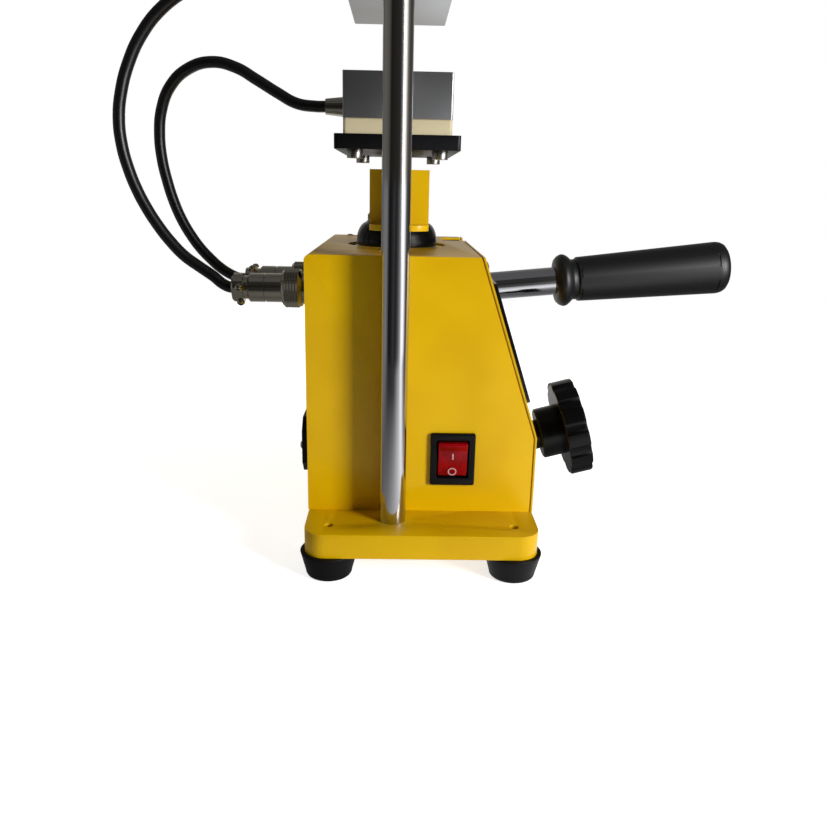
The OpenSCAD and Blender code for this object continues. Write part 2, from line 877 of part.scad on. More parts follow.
module handle_slot(w) {
    low_a = handle_down - handle_rest;
    reach_down = (housing_front - pivot_x) * tan(low_a) + (handle_d / 2 + socket_wall) / cos(low_a);
    low_z = pivot_z - reach_down - 2 * loose;
    translate([handle_slot_rear, lever_y - w / 2, low_z]) cube([housing_front, w, top_z - low_z + cut]);
}

module housing_screw_places() {
    for (x = [housing_screw_rear, housing_screw_front])
        both_sides(housing_w / 2 - sheet_t - floor_lip_w / 2) translate([x, 0, 0]) children();
}

// Folded shell: two sides, rear and top, open at the front and below, with mounting lips
module housing_shell() {
    inner_w = housing_w - 2 * sheet_t;
    color("gold") {
        difference() {
            across(housing_w) housing_outline(0, bend_r);
            translate([0, 0, -cut]) across(inner_w) housing_outline(sheet_t, bend_r - sheet_t);
            across(inner_w) housing_outline(sheet_t, bend_r - sheet_t);
            across(inner_w) polygon(front_outline(-2 * sheet_t - cut, cut, deck_z - cut, top_z - sheet_t));
            translate([0, 0, top_z - 2 * sheet_t]) cylinder(d = ram_hole_d, h = 3 * sheet_t);
            spring_places() translate([0, 0, top_z - 2 * sheet_t])
                cylinder(d = spring_hole_d, h = 3 * sheet_t);
            handle_slot(handle_slot_w);
            switch_hole();
            inlet_hole();
            socket_places() translate([-cut, 0, 0]) rotate([0, 90, 0])
                cylinder(d = socket_thread_d + 2 * loose, h = sheet_t + 2 * cut);
            earth_screw_place() translate([0, 0, -2 * sheet_t])
                cylinder(d = cover_screw_d + thread_gap, h = 3 * sheet_t);
        }
        front_lips();
        floor_lips();
    }
}

// Lips that the front cover is screwed to, standing proud of the housing's edge by the cover's gap
module front_lips() {
    side_y = housing_w / 2 - sheet_t - lip_w / 2;
    difference() {
        union() {
            both_sides(side_y) across(lip_w)
                polygon(front_outline(cover_gap - sheet_t, cover_gap, deck_z, top_z - sheet_t));
            across(housing_w - 2 * sheet_t) translate([housing_front + cover_gap - sheet_t, deck_z])
                square([sheet_t, foot_strip_h]);
        }
        cover_screw_places() translate([0, 0, -cover_screw_reach])
            cylinder(d = cover_screw_d + thread_gap, h = cover_screw_reach + cut);
        knob_hole();
        handle_slot(handle_slot_w);
    }
}

module floor_lips() {
    difference() {
        both_sides(housing_w / 2 - sheet_t - floor_lip_w / 2)
            translate([-housing_rear + floor_lip_rear, -floor_lip_w / 2, deck_z]) cube([housing_rear + housing_front - floor_lip_rear - floor_lip_front, floor_lip_w, sheet_t]);
        housing_screw_places() translate([0, 0, deck_z - cut])
            cylinder(d = housing_screw_d + 2 * loose, h = sheet_t + 2 * cut);
    }
}

module housing_screws() {
    color("silver") housing_screw_places() translate([0, 0, deck_z + sheet_t])
        pan_screw(housing_screw_d, housing_screw_head_d, housing_screw_head_h, housing_screw_reach);
}

module earth_screw_place() {
    translate([earth_screw_x, housing_w / 2 - earth_screw_side, top_z]) children();
}

// Places of the cover's screws, with Z pointing out of the cover's outer face
module cover_screw_places() {
    outer = cover_gap + cover_t;
    both_sides(housing_w / 2 - cover_screw_side) on_slope(outer) translate([cover_screw_top, 0, 0]) children();
    both_sides(cover_screw_foot_y) translate([housing_front + outer, 0, deck_z + cover_screw_foot])
        rotate([0, 90, 0]) children();
}

// Folded front cover with the handle's slot, the valve's hole and windows for the displays
module front_cover() {
    color("gold") difference() {
        across(housing_w) polygon(front_outline(cover_gap, cover_gap + cover_t, deck_z, top_z));
        handle_slot(handle_slot_w);
        knob_hole();
        cover_screw_places() translate([0, 0, -cover_screw_reach])
            cylinder(d = cover_screw_d + 2 * loose, h = 2 * cover_screw_reach);
        display_place() for (side = [-1, 1]) translate([0, side * display_w / 4, 0])
            cube([display_window_h, display_window_w, 4 * cover_t], center = true);
        spacer_places() translate([0, 0, -cut]) cylinder(d = cover_screw_d + 2 * loose, h = 4 * cover_t);
    }
}

// The cover's screws, and the same screw in the top for the earth lead inside
module cover_screws() {
    color("silver") {
        cover_screw_places() pan_screw(cover_screw_d, cover_head_d, cover_head_h, cover_screw_reach);
        earth_screw_place() pan_screw(cover_screw_d, cover_head_d, cover_head_h, cover_screw_reach);
    }
}

// Frame on the cover's outer face at the display's centre
module display_place() {
    on_slope(cover_gap + cover_t) translate([display_top + display_h / 2, display_y, 0]) children();
}

// Dark panel with two display windows and keys that lie flush
module display_panel() {
    color("#101318") display_place() difference() {
        linear_extrude(display_t) rounded(display_h, display_w, display_t);
        for (side = [-1, 1]) translate([-display_window_h / 3, side * display_w / 4, display_t])
            cube([display_window_h, display_window_w, 2 * display_recess], center = true);
        for (side = [-1, 1], key = [-1, 1])
            translate([display_window_h, side * display_w / 4 + key * display_window_w / 4,
                display_t - display_recess])
                cylinder(d = 2 * display_hole_d, h = display_t);
    }
}

module spacer_places() {
    board_l = display_h - 2 * control_margin;
    board_w = display_w - 2 * control_margin;
    on_slope(cover_gap) translate([display_top + display_h / 2, display_y, 0])
        for (x = [-1, 1], y = [-1, 1])
            translate([x * (board_l / 2 - spacer_inset), y * (board_w / 2 - spacer_inset), 0]) children();
}

module control_board() {
    board_l = display_h - 2 * control_margin;
    board_w = display_w - 2 * control_margin;
    color("darkgreen") on_slope(cover_gap)
        translate([display_top + display_h / 2, display_y, -control_gap - control_t]) {
        difference() {
            linear_extrude(control_t) square([board_l, board_w], center = true);
            for (x = [-1, 1], y = [-1, 1])
                translate([x * (board_l / 2 - spacer_inset), y * (board_w / 2 - spacer_inset), -cut])
                    cylinder(d = cover_screw_d, h = control_t + 2 * cut);
        }
        for (side = [-1, 1]) translate([0, side * board_w / 4, control_t + relay[2] / 2 - loose])
            cube([relay[0], relay[1], relay[2] - 2 * loose], center = true);
    }
}

module board_spacers() {
    color("silver") spacer_places() translate([0, 0, -control_gap]) difference() {
        cylinder(d = spacer_d, h = control_gap);
        translate([0, 0, -cut]) cylinder(d = cover_screw_d, h = control_gap + 2 * cut);
    }
}

// Frame of the rocker switch: origin on the housing's side, Z out of it, Y up
module switch_place() {
    translate([switch_x, -housing_w / 2, switch_z]) rotate([90, 0, 0]) children();
}

module switch_hole() {
    switch_place() translate([0, 0, -sheet_t / 2])
        cube([switch_body_w + 2 * loose, switch_body_h + 2 * loose, sheet_t + 2 * cut], center = true);
}

module rocker_frame() {
    color("#161616") switch_place() difference() {
        union() {
            linear_extrude(bezel_t) rounded(bezel_w, bezel_h, switch_wall);
            translate([0, 0, -switch_body_l / 2])
                cube([switch_body_w, switch_body_h, switch_body_l], center = true);
        }
        translate([0, 0, bezel_t - button_l]) linear_extrude(button_l + cut)
            square([bezel_opening_w, bezel_opening_h], center = true);
    }
}

// The rocker's outer face is two flats that meet in a shallow valley
module button_outline() {
    half = button_h / 2;
    polygon([[-half, -button_l / 2], [half, -button_l / 2], [half, button_proud + half * sin(button_tilt)],
        [0, button_proud - bezel_t / 2], [-half, button_proud + half * sin(button_tilt)]]);
}

module rocker_button() {
    color("#c01018") switch_place() translate([0, 0, bezel_t / 2]) rotate([button_tilt, 0, 0])
        translate([-button_w / 2, 0, 0]) rotate([90, 0, 90]) linear_extrude(button_w) intersection() {
            button_outline();
            circle(r = button_h / 2 + loose);
        }
}

// Frame of the power inlet: origin on the rear wall, Z out of it
module inlet_place() {
    translate([-housing_rear, inlet_y, inlet_z]) rearward() children();
}

module inlet_hole() {
    inlet_place() translate([0, 0, -sheet_t / 2])
        cube([inlet_body_h + 2 * loose, inlet_body_w + 2 * loose, sheet_t + 2 * cut], center = true);
    inlet_screw_places() translate([0, 0, -2 * sheet_t])
        cylinder(d = inlet_screw_d + thread_gap, h = 3 * sheet_t);
}

module inlet_screw_places() {
    inlet_place() for (side = [-1, 1]) translate([0, side * inlet_screw_pitch / 2, 0]) children();
}

module inlet_flange() {
    a = inlet_h / 2;
    b = inlet_w / 2;
    c = inlet_chamfer;
    polygon([[-a + c, -b], [a - c, -b], [a, -b + c], [a, b - c],
        [a - c, b], [-a + c, b], [-a, b - c], [-a, -b + c]]);
}

// Socket mouth with two cut corners
module socket_mouth() {
    a = socket_h / 2;
    b = socket_w / 2;
    polygon([[-a, -b], [a - socket_cut, -b], [a, -b + socket_cut],
        [a, b - socket_cut], [a - socket_cut, b], [-a, b]]);
}

module power_inlet() {
    color("#151515") inlet_place() {
        difference() {
            union() {
                linear_extrude(inlet_t) inlet_flange();
                translate([0, 0, -inlet_body_l / 2])
                    cube([inlet_body_h, inlet_body_w, inlet_body_l], center = true);
            }
            translate([0, 0, inlet_t - socket_l]) linear_extrude(socket_l + cut) socket_mouth();
            for (side = [-1, 1]) translate([0, side * inlet_screw_pitch / 2, -cut])
                cylinder(d = inlet_screw_d + 2 * loose, h = inlet_t + 2 * cut);
        }
        for (side = [-1, 0, 1])
            translate([side == 0 ? earth_blade_rise : -blade[2] / 2, side * blade_pitch,
                inlet_t - socket_l + blade[0] / 2 - cut / 2])
                cube([blade[1], blade[2], blade[0] - cut], center = true);
    }
}

module inlet_screws() {
    color("silver") inlet_screw_places() translate([0, 0, inlet_t])
        pan_screw(inlet_screw_d, inlet_head_d, inlet_head_h, inlet_t + inlet_screw_reach);
}

// Frames of the two heater sockets: origin on the rear wall, X pointing forwards
module socket_places() {
    both_sides(socket_pitch / 2) translate([-housing_rear, 0, socket_z]) children();
}

module heater_sockets() {
    color("silver") socket_places() rearward() {
        cylinder(d = socket_flange_d, h = socket_flange_t);
        cylinder(d = socket_thread_d, h = socket_nose);
        translate([0, 0, -sheet_t]) cylinder(d = socket_thread_d, h = sheet_t);
        translate([0, 0, -sheet_t - socket_nut_t])
            cylinder(d = socket_flange_d, h = socket_nut_t, $fn = 6);
        translate([0, 0, -sheet_t - socket_back_l]) cylinder(d = socket_back_d, h = socket_back_l);
    }
}

// Barrel of a plug with ring grooves and a flat-topped cable clamp
module plug(turn = 0) {
    clamp_z = nut_start + nut_l + barrel_l;
    rearward() rotate(turn) difference() {
        union() {
            translate([0, 0, socket_nose + loose])
                cylinder(d = socket_thread_d - 2 * ring_groove, h = nut_start + nut_l - socket_nose - loose);
            translate([0, 0, nut_start + nut_l]) cylinder(d = plug_barrel_d, h = barrel_l);
            translate([0, 0, clamp_z]) intersection() {
                cylinder(d = plug_barrel_d, h = clamp_l);
                translate([0, 0, clamp_l / 2]) cube([clamp_w, plug_barrel_d, clamp_l], center = true);
            }
        }
        for (i = [1 : barrel_rings]) translate([0, 0, nut_start + nut_l + i * ring_step]) difference() {
            cylinder(d = plug_barrel_d + cut, h = 2 * ring_groove);
            translate([0, 0, -cut])
                cylinder(d = plug_barrel_d - 2 * ring_groove, h = 2 * ring_groove + 2 * cut);
        }
        for (side = [-1, 1]) translate([0, side * clamp_screw_side, clamp_z + clamp_l / 2]) rotate([0, 90, 0])
            cylinder(d = clamp_screw_d + thread_gap, h = 2 * plug_barrel_d, center = true);
    }
}

module left_plug() {
    color("silver") translate([-housing_rear, -socket_pitch / 2, socket_z]) plug(left_clamp_turn);
}

module right_plug() {
    color("silver") translate([-housing_rear, socket_pitch / 2, socket_z]) plug();
}

// Knurled rings that hold the plugs on their sockets
module coupling_nuts() {
    color("gray") socket_places() rearward() translate([0, 0, nut_start]) difference() {
        cylinder(d = plug_nut_d, h = nut_l);
        for (i = [0 : nut_knurls - 1]) rotate(i * 360 / nut_knurls)
            translate([plug_nut_d / 2, 0, nut_l / 2]) rotate(45)
                cube([knurl_depth, knurl_depth, nut_l - 2 * cut], center = true);
        translate([0, 0, -cut]) cylinder(d = socket_thread_d + 2 * running, h = nut_l + 2 * cut);
    }
}

module clamp_screw_pair(turn = 0) {
    clamp_mid = nut_start + nut_l + barrel_l + clamp_l / 2;
    rearward() rotate(turn) for (side = [-1, 1]) translate([clamp_w / 2, side * clamp_screw_side, clamp_mid])
        rotate([0, 90, 0]) pan_screw(clamp_screw_d, clamp_head_d, clamp_head_h, clamp_w - clamp_rise);
}

module clamp_screws() {
    color("silver") {
        translate([-housing_rear, -socket_pitch / 2, socket_z]) clamp_screw_pair(left_clamp_turn);
        translate([-housing_rear, socket_pitch / 2, socket_z]) clamp_screw_pair();
    }
}

// Casting that carries the tank, the pump and the release valve
module jack_foot() {
    l = jack_foot_rear + jack_foot_front;
    w = jack_foot_left + jack_foot_right;
    color("#202225") difference() {
        translate([(jack_foot_front - jack_foot_rear) / 2, (jack_foot_right - jack_foot_left) / 2, deck_z])
            linear_extrude(jack_foot_h) rounded(l, w, jack_foot_corner);
        spring_places() translate([0, 0, deck_z - cut])
            cylinder(d = spring_hole_d, h = jack_foot_h + 2 * cut);
        jack_screw_places() translate([0, 0, deck_z - cut])
            cylinder(d = jack_screw_d + 2 * loose, h = jack_foot_h + 2 * cut);
        on_valve() translate([0, 0, -stem_l - loose]) cylinder(d = stem_d + 2 * running, h = stem_l);
        translate([piston_x, lever_y, tank_z - pump_sump])
            cylinder(d = piston_d + 2 * running, h = pump_sump + cut);
    }
}

module jack_screw_places() {
    for (x = [-jack_foot_rear + jack_screw_inset, jack_foot_front - jack_screw_inset],
        y = [-jack_foot_left + jack_screw_inset, jack_foot_right - jack_screw_inset])
        translate([x, y, 0]) children();
}

module jack_screws() {
    color("dimgray") jack_screw_places() translate([0, 0, deck_z + jack_foot_h])
        cap_screw(jack_screw_d, jack_screw_head_d, jack_screw_head_h, jack_foot_h + base_t - cut);
}

tank_z = deck_z + jack_foot_h;
tank_top_z = top_z - nut_skirt;

module jack_tank() {
    color("#202225") translate([0, 0, tank_z]) difference() {
        cylinder(d = tank_d, h = tank_top_z - tank_z);
        translate([0, 0, -cut]) cylinder(d = tank_d - 2 * tank_wall, h = tank_top_z - tank_z + 2 * cut);
    }
}

module jack_cylinder() {
    color("gray") translate([0, 0, tank_z]) difference() {
        cylinder(d = ram_d + 2 * cylinder_wall, h = tank_top_z - tank_z);
        translate([0, 0, ram_floor / 2]) cylinder(d = ram_d + 2 * running, h = tank_top_z);
    }
}

// Domed top nut of the jack, which shows through the housing's hole
module jack_top_nut() {
    dome_z = top_z + dome_base_up;
    steps = 10;
    color("#0c0c0e") difference() {
        rotate_extrude() polygon(concat(
            [[0, tank_top_z], [tank_d / 2, tank_top_z], [tank_d / 2, tank_top_z + nut_skirt / 4],
                [dome_r + 2 * tank_wall, tank_top_z + nut_skirt / 2], [dome_r, tank_top_z + nut_skirt]],
            [for (i = [0 : steps]) let (a = i * 80 / steps)
                [dome_neck_r + (dome_r - dome_neck_r) * cos(a), dome_z + dome_h * sin(a)]],
            [[dome_neck_r, dome_z + dome_h], [dome_neck_r, top_z + neck_h - neck_chamfer],
                [dome_neck_r - neck_chamfer, top_z + neck_h], [0, top_z + neck_h]]));
        translate([0, 0, tank_top_z - cut]) cylinder(d = ram_d + 2 * running, h = 2 * housing_h);
    }
}

ram_top_z = web_z - yoke_t - ram_head_h;

module ram() {
    color("silver") difference() {
        union() {
            translate([0, 0, tank_z + ram_floor]) cylinder(d = ram_d, h = ram_top_z - tank_z - ram_floor);
            translate([0, 0, ram_top_z]) cylinder(d = ram_head_d, h = ram_head_h);
        }
        translate([0, 0, web_z - yoke_t - bolt_reach]) cylinder(d = bolt_d, h = bolt_reach + cut);
    }
}

module pump_barrel() {
    color("#202225") translate([piston_x, lever_y, tank_z]) difference() {
        cylinder(d = piston_d + 2 * pump_wall, h = pump_h);
        translate([0, 0, -cut]) cylinder(d = piston_d + 2 * running, h = pump_h + 2 * cut);
    }
}

// Piston with a flat eye at its top for the lever's pin
module pump_piston() {
    eye_low = pin_rest_z - 2 * eye_r;
    color("silver") difference() {
        union() {
            translate([piston_x, lever_y, tank_z + pump_h - piston_depth])
                cylinder(d = piston_d, h = eye_low - tank_z - pump_h + piston_depth);
            translate([piston_x, lever_y, pin_rest_z]) across(post_w) circle(eye_r);
            translate([piston_x, lever_y, eye_low + eye_r])
                cube([2 * eye_r - 2 * loose, post_w, 2 * eye_r], center = true);
        }
        translate([piston_x, lever_y, pin_rest_z]) across(post_w + 2 * cut) circle(d = piston_pin_d);
    }
}

module fulcrum_post() {
    color("#202225") difference() {
        union() {
            translate([pivot_x, lever_y, (tank_z + pivot_z) / 2])
                cube([post_l, post_w, pivot_z - tank_z], center = true);
            translate([pivot_x, lever_y, pivot_z]) across(post_w) circle(d = post_l);
        }
        translate([pivot_x, lever_y, pivot_z]) across(post_w + 2 * cut) circle(d = pivot_pin_d + 2 * running);
    }
}

// Lever: two cheeks on the pivot, joined by the tube that holds the bar
module handle_socket() {
    inner = post_w + 2 * loose;
    outer_w = inner + 2 * cheek_t;
    slot_end = lever_arm / cos(handle_rest + handle_up) + pin_play;
    slot_start = lever_arm - pin_play;
    slot_r = piston_pin_d / 2 + pin_play;
    tube_d = handle_d + 2 * socket_wall;
    color("dimgray") on_lever() difference() {
        union() {
            across(outer_w) {
                circle(cheek_r);
                translate([0, -cheek_r]) square([socket_start + cut, 2 * cheek_r]);
            }
            translate([socket_start, 0, 0]) rotate([0, 90, 0])
                cylinder(d = tube_d, h = socket_end - socket_start);
        }
        translate([-cheek_r - cut, -inner / 2, -tube_d])
            cube([socket_start + cheek_r + cut, inner, 2 * tube_d]);
        across(outer_w + 2 * cut) {
            circle(d = pivot_pin_d);
            for (x = [slot_start, slot_end]) translate([x, 0]) circle(slot_r);
            translate([slot_start, -slot_r]) square([slot_end - slot_start, 2 * slot_r]);
        }
        translate([bar_start, 0, 0]) rotate([0, 90, 0]) cylinder(d = handle_d, h = socket_end);
    }
}

module pivot_pin() {
    color("silver") translate([pivot_x, lever_y, pivot_z])
        across(post_w + 2 * loose + 2 * cheek_t) circle(d = pivot_pin_d);
}

module piston_pin() {
    color("silver") translate([piston_x, lever_y, pin_rest_z])
        across(post_w + 2 * loose + 2 * cheek_t) circle(d = piston_pin_d);
}

handle_l = (handle_reach - pivot_x) / cos(handle_rest);
grip_start = handle_l - grip_l;

module handle_bar() {
    color("silver") on_lever() translate([bar_start, 0, 0]) rotate([0, 90, 0])
        cylinder(d = handle_d, h = handle_l - bar_end_gap - bar_start);
}

// Ribbed grip with a flange, a neck and a rounded end
module handle_grip() {
    front_r = grip_front_d / 2;
    end_r = grip_d / 2;
    body_start = grip_ring_t + grip_neck_l;
    groove_places = concat([for (i = [0 : grip_groove_count - 1]) body_start + (i + 1) * grip_groove_step],
        [for (i = [0 : grip_groove_count - 1]) grip_l - grip_round - (i + 1) * grip_groove_step]);
    color("#141414") on_lever() translate([grip_start, 0, 0]) rotate([0, 90, 0]) difference() {
        rotate_extrude() difference() {
            union() {
                polygon([[0, 0], [grip_ring_d / 2 - grip_ring_bevel, 0], [grip_ring_d / 2, grip_ring_t / 3],
                    [grip_ring_d / 2, grip_ring_t / 2], [grip_neck_d / 2, grip_ring_t],
                    [grip_neck_d / 2, body_start], [front_r, body_start + grip_step],
                    [end_r, grip_l - grip_round], [end_r - grip_round / 4, grip_l - grip_round / 3],
                    [end_r - grip_round, grip_l], [0, grip_l]]);
            }
            for (z = groove_places) translate([front_r + (end_r - front_r) * z / grip_l - grip_groove, z])
                square([grip_round, grip_groove_w]);
        }
        translate([0, 0, -cut]) cylinder(d = handle_d, h = grip_l - bar_end_gap + cut);
    }
}

module valve_stem() {
    color("silver") on_valve() translate([0, 0, -stem_l]) cylinder(d = stem_d, h = stem_l + stem_grip);
}

// Star knob: a fluted rim, a hub and a boss towards the housing
module star_knob() {
    rim_r = knob_d / 2;
    color("#131313") on_valve() difference() {
        union() {
            translate([0, 0, -boss_l]) cylinder(d = boss_d, h = boss_l);
            cylinder(d = hub_d, h = hub_l);
            translate([0, 0, hub_l]) cylinder(r = rim_r, h = knob_t);
        }
        for (i = [0 : lobes - 1]) rotate(i * 360 / lobes)
            translate([rim_r + flute_r - flute_depth, 0, hub_l - cut])
            cylinder(r = flute_r, h = knob_t + 2 * cut);
        translate([0, 0, -boss_l - cut]) cylinder(d = stem_d, h = boss_l + stem_grip + cut);
    }
}

base_plate();
rubber_feet();
foot_screws();
left_column();
right_column();
column_screws();
column_washers();
column_nuts();
crossbeam();
beam_screws();
upper_backing_plate();
upper_insulator();
upper_heated_plate();
upper_platen_screws();
upper_cable_gland();
upper_heater_cable();
lower_backing_plate();
lower_insulator();
lower_heated_plate();
lower_platen_screws();
lower_cable_gland();
lower_heater_cable();
guide_yoke();
platen_stem();
yoke_bolt();
upper_spring_studs();
lower_spring_studs();
return_springs();
housing_shell();
housing_screws();
front_cover();
cover_screws();
display_panel();
control_board();
board_spacers();
rocker_frame();
rocker_button();
power_inlet();
inlet_screws();
heater_sockets();
left_plug();
right_plug();
coupling_nuts();
clamp_screws();
jack_foot();
jack_screws();
jack_tank();
jack_cylinder();
jack_top_nut();
ram();
pump_barrel();
pump_piston();
fulcrum_post();
handle_socket();
pivot_pin();
piston_pin();
handle_bar();
handle_grip();
valve_stem();
star_knob();
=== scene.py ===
import bmesh
import bpy
import math
from mathutils import Matrix, Vector


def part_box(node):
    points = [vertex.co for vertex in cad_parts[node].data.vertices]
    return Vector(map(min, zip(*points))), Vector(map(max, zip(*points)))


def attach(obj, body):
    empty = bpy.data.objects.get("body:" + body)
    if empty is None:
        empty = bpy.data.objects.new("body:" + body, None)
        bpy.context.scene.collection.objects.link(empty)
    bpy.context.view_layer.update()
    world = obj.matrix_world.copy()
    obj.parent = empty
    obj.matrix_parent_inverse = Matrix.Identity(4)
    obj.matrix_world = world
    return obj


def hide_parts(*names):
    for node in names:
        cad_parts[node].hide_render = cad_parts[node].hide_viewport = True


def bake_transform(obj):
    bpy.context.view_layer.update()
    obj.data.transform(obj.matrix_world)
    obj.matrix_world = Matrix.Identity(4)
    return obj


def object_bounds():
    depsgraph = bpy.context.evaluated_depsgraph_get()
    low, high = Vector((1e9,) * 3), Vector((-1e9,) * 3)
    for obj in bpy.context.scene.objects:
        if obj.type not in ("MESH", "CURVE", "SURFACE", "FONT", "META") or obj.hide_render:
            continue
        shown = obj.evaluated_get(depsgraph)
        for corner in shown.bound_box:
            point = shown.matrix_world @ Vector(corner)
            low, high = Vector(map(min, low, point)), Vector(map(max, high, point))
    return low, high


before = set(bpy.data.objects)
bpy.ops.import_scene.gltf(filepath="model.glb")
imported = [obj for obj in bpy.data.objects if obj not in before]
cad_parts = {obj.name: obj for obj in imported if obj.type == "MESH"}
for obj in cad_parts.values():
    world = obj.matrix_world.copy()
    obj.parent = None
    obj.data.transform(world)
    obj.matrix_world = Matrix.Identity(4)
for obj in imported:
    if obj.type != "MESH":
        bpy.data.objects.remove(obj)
cad_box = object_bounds()
mm = 0.001

# The camera stands at the operator's left, a little above the bench, and looks across the machine.
# Its place and lens come from the photograph's straight edges.
scene = bpy.context.scene
scene.view_settings.view_transform = "Standard"
camera_place = Vector((2.4, -511.8, 195.8)) * mm
camera_yaw = 0.0201
camera_down = 0.2827
camera_roll = 0.0202
level = Vector((math.cos(camera_yaw), -math.sin(camera_yaw), 0))
ahead = Vector((math.sin(camera_yaw), math.cos(camera_yaw), 0)) * math.cos(camera_down)
ahead.z = -math.sin(camera_down)
upward = level.cross(ahead)
right = level * math.cos(camera_roll) + upward * math.sin(camera_roll)
above = upward * math.cos(camera_roll) - level * math.sin(camera_roll)
camera = bpy.data.objects.new("camera", bpy.data.cameras.new("camera"))
camera.data.sensor_width = 36
camera.data.lens = 33.995
camera.data.clip_start = 0.01
camera.matrix_world = Matrix((right, above, -ahead)).transposed().to_4x4()
camera.matrix_world.translation = camera_place
scene.collection.objects.link(camera)
scene.camera = camera


# The base is a thick steel plate under yellow stove enamel, glossy, with a fine orange peel.
# It stands on four moulded rubber feet, each held by a zinc-plated screw in its recess.
def srgb(code):
    parts = [int(code[i:i + 2], 16) / 255 for i in (1, 3, 5)]
    return [c / 12.92 if c < 0.04045 else ((c + 0.055) / 1.055) ** 2.4 for c in parts] + [1]


def put(tree, kind, inputs=None, **settings):
    made = tree.nodes.new(kind)
    for name, value in settings.items():
        setattr(made, name, value)
    for name, value in (inputs or {}).items():
        if isinstance(value, bpy.types.NodeSocket):
            tree.links.new(value, made.inputs[name])
        else:
            made.inputs[name].default_value = value
    return made


def new_finish(name, **shader_values):
    made = bpy.data.materials.new(name)
    made.use_nodes = True
    tree = made.node_tree
    shader = tree.nodes["Principled BSDF"]
    for key, value in shader_values.items():
        shader.inputs[key.replace("_", " ")].default_value = value
    return made, tree, shader


def roughen(tree, shader, grain, depth, detail=2, stretch=(1, 1, 1)):
    place = put(tree, "ShaderNodeTexCoord")
    turned = put(tree, "ShaderNodeMapping", {"Vector": place.outputs["Object"], "Scale": stretch})
    noise = put(tree, "ShaderNodeTexNoise",
                {"Vector": turned.outputs["Vector"], "Scale": 1 / grain, "Detail": detail})
    bump = put(tree, "ShaderNodeBump", {"Height": noise.outputs["Fac"], "Distance": depth, "Strength": 1})
    tree.links.new(bump.outputs["Normal"], shader.inputs["Normal"])
    if shader.inputs["Coat Weight"].default_value:
        tree.links.new(bump.outputs["Normal"], shader.inputs["Coat Normal"])


cloud_low = 0.35
cloud_high = 0.65


def mottle(tree, shader, socket, patch, low, high, detail=2):
    place = put(tree, "ShaderNodeTexCoord")
    cloud = put(tree, "ShaderNodeTexNoise",
                {"Vector": place.outputs["Object"], "Scale": 1 / patch, "Detail": detail})
    ramp = put(tree, "ShaderNodeValToRGB", {"Fac": cloud.outputs["Fac"]})
    ramp.color_ramp.elements[0].position = cloud_low
    ramp.color_ramp.elements[0].color = low
    ramp.color_ramp.elements[1].position = cloud_high
    ramp.color_ramp.elements[1].color = high
    tree.links.new(ramp.outputs["Color"], shader.inputs[socket])


def grained(name, code, grain, depth, detail=2, stretch=(1, 1, 1), **shader_values):
    made, tree, shader = new_finish(name, Base_Color=srgb(code), **shader_values)
    roughen(tree, shader, grain, depth, detail, stretch)
    return made


weld_gap = 1e-6
flat_within = math.radians(0.5)
edge_above = math.radians(38)


def soften(piece, width, segments=3):
    weld = piece.modifiers.new("weld", "WELD")
    weld.merge_threshold = weld_gap
    flat = piece.modifiers.new("flat", "DECIMATE")
    flat.decimate_type = "DISSOLVE"
    flat.angle_limit = flat_within
    edge = piece.modifiers.new("edge", "BEVEL")
    edge.width = width
    edge.segments = segments
    edge.limit_method = "ANGLE"
    edge.angle_limit = edge_above
    edge.harden_normals = True
    piece.data.shade_smooth()


def dress(name, finish, width=0):
    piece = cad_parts[name]
    piece.data.materials.clear()
    piece.data.materials.append(finish)
    if width:
        soften(piece, width)
    return piece


enamel, tree, shader = new_finish("yellow_stove_enamel", Roughness=0.3, IOR=1.45, Specular_IOR_Level=0.3)
roughen(tree, shader, 1.3 * mm, 0.01 * mm)
mottle(tree, shader, "Base Color", 35 * mm, srgb("#D6A800"), srgb("#DCB000"), 1)
dress("base_plate", enamel, 1.4 * mm)

rubber = grained("moulded_black_rubber", "#0C0C0D", 0.5 * mm, 0.02 * mm, Roughness=0.5, IOR=1.5,
                 Specular_IOR_Level=0.15)
dress("rubber_feet", rubber, 0.8 * mm)

bright_zinc = grained("zinc_plated_steel", "#B9B8B4", 0.5 * mm, 0.01 * mm, Metallic=1, Roughness=0.28)
black_oxide = grained("black_oxide_steel", "#2B2B2E", 0.5 * mm, 0.01 * mm, Metallic=1, Roughness=0.42)
dress("foot_screws", bright_zinc, 0.15 * mm)
dress("column_screws", black_oxide, 0.3 * mm)


# The columns are ground steel rod with hard chrome, bright and faintly streaked along the axis.
# A stud end carries the enamelled crossbeam under a washer and a domed nut.
merge_gap = 1e-7


def turn_profile(profile, place, steps=96, carve=None):
    work = bmesh.new()
    corners = [work.verts.new((r * mm, 0, z * mm)) for r, z in profile]
    edges = [work.edges.new(pair) for pair in zip(corners, corners[1:])]
    bmesh.ops.spin(work, geom=corners + edges, axis=(0, 0, 1), cent=(0, 0, 0), steps=steps, angle=math.tau,
                   use_merge=True)
    bmesh.ops.remove_doubles(work, verts=work.verts, dist=merge_gap)
    if carve:
        for corner in work.verts:
            r = math.hypot(corner.co.x, corner.co.y)
            if r > 1e-6:
                cut = carve(math.degrees(math.atan2(corner.co.y, corner.co.x)), r / mm, corner.co.z / mm) * mm
                corner.co.x *= 1 - cut / r
                corner.co.y *= 1 - cut / r
    bmesh.ops.transform(work, matrix=place, verts=work.verts)
    return work


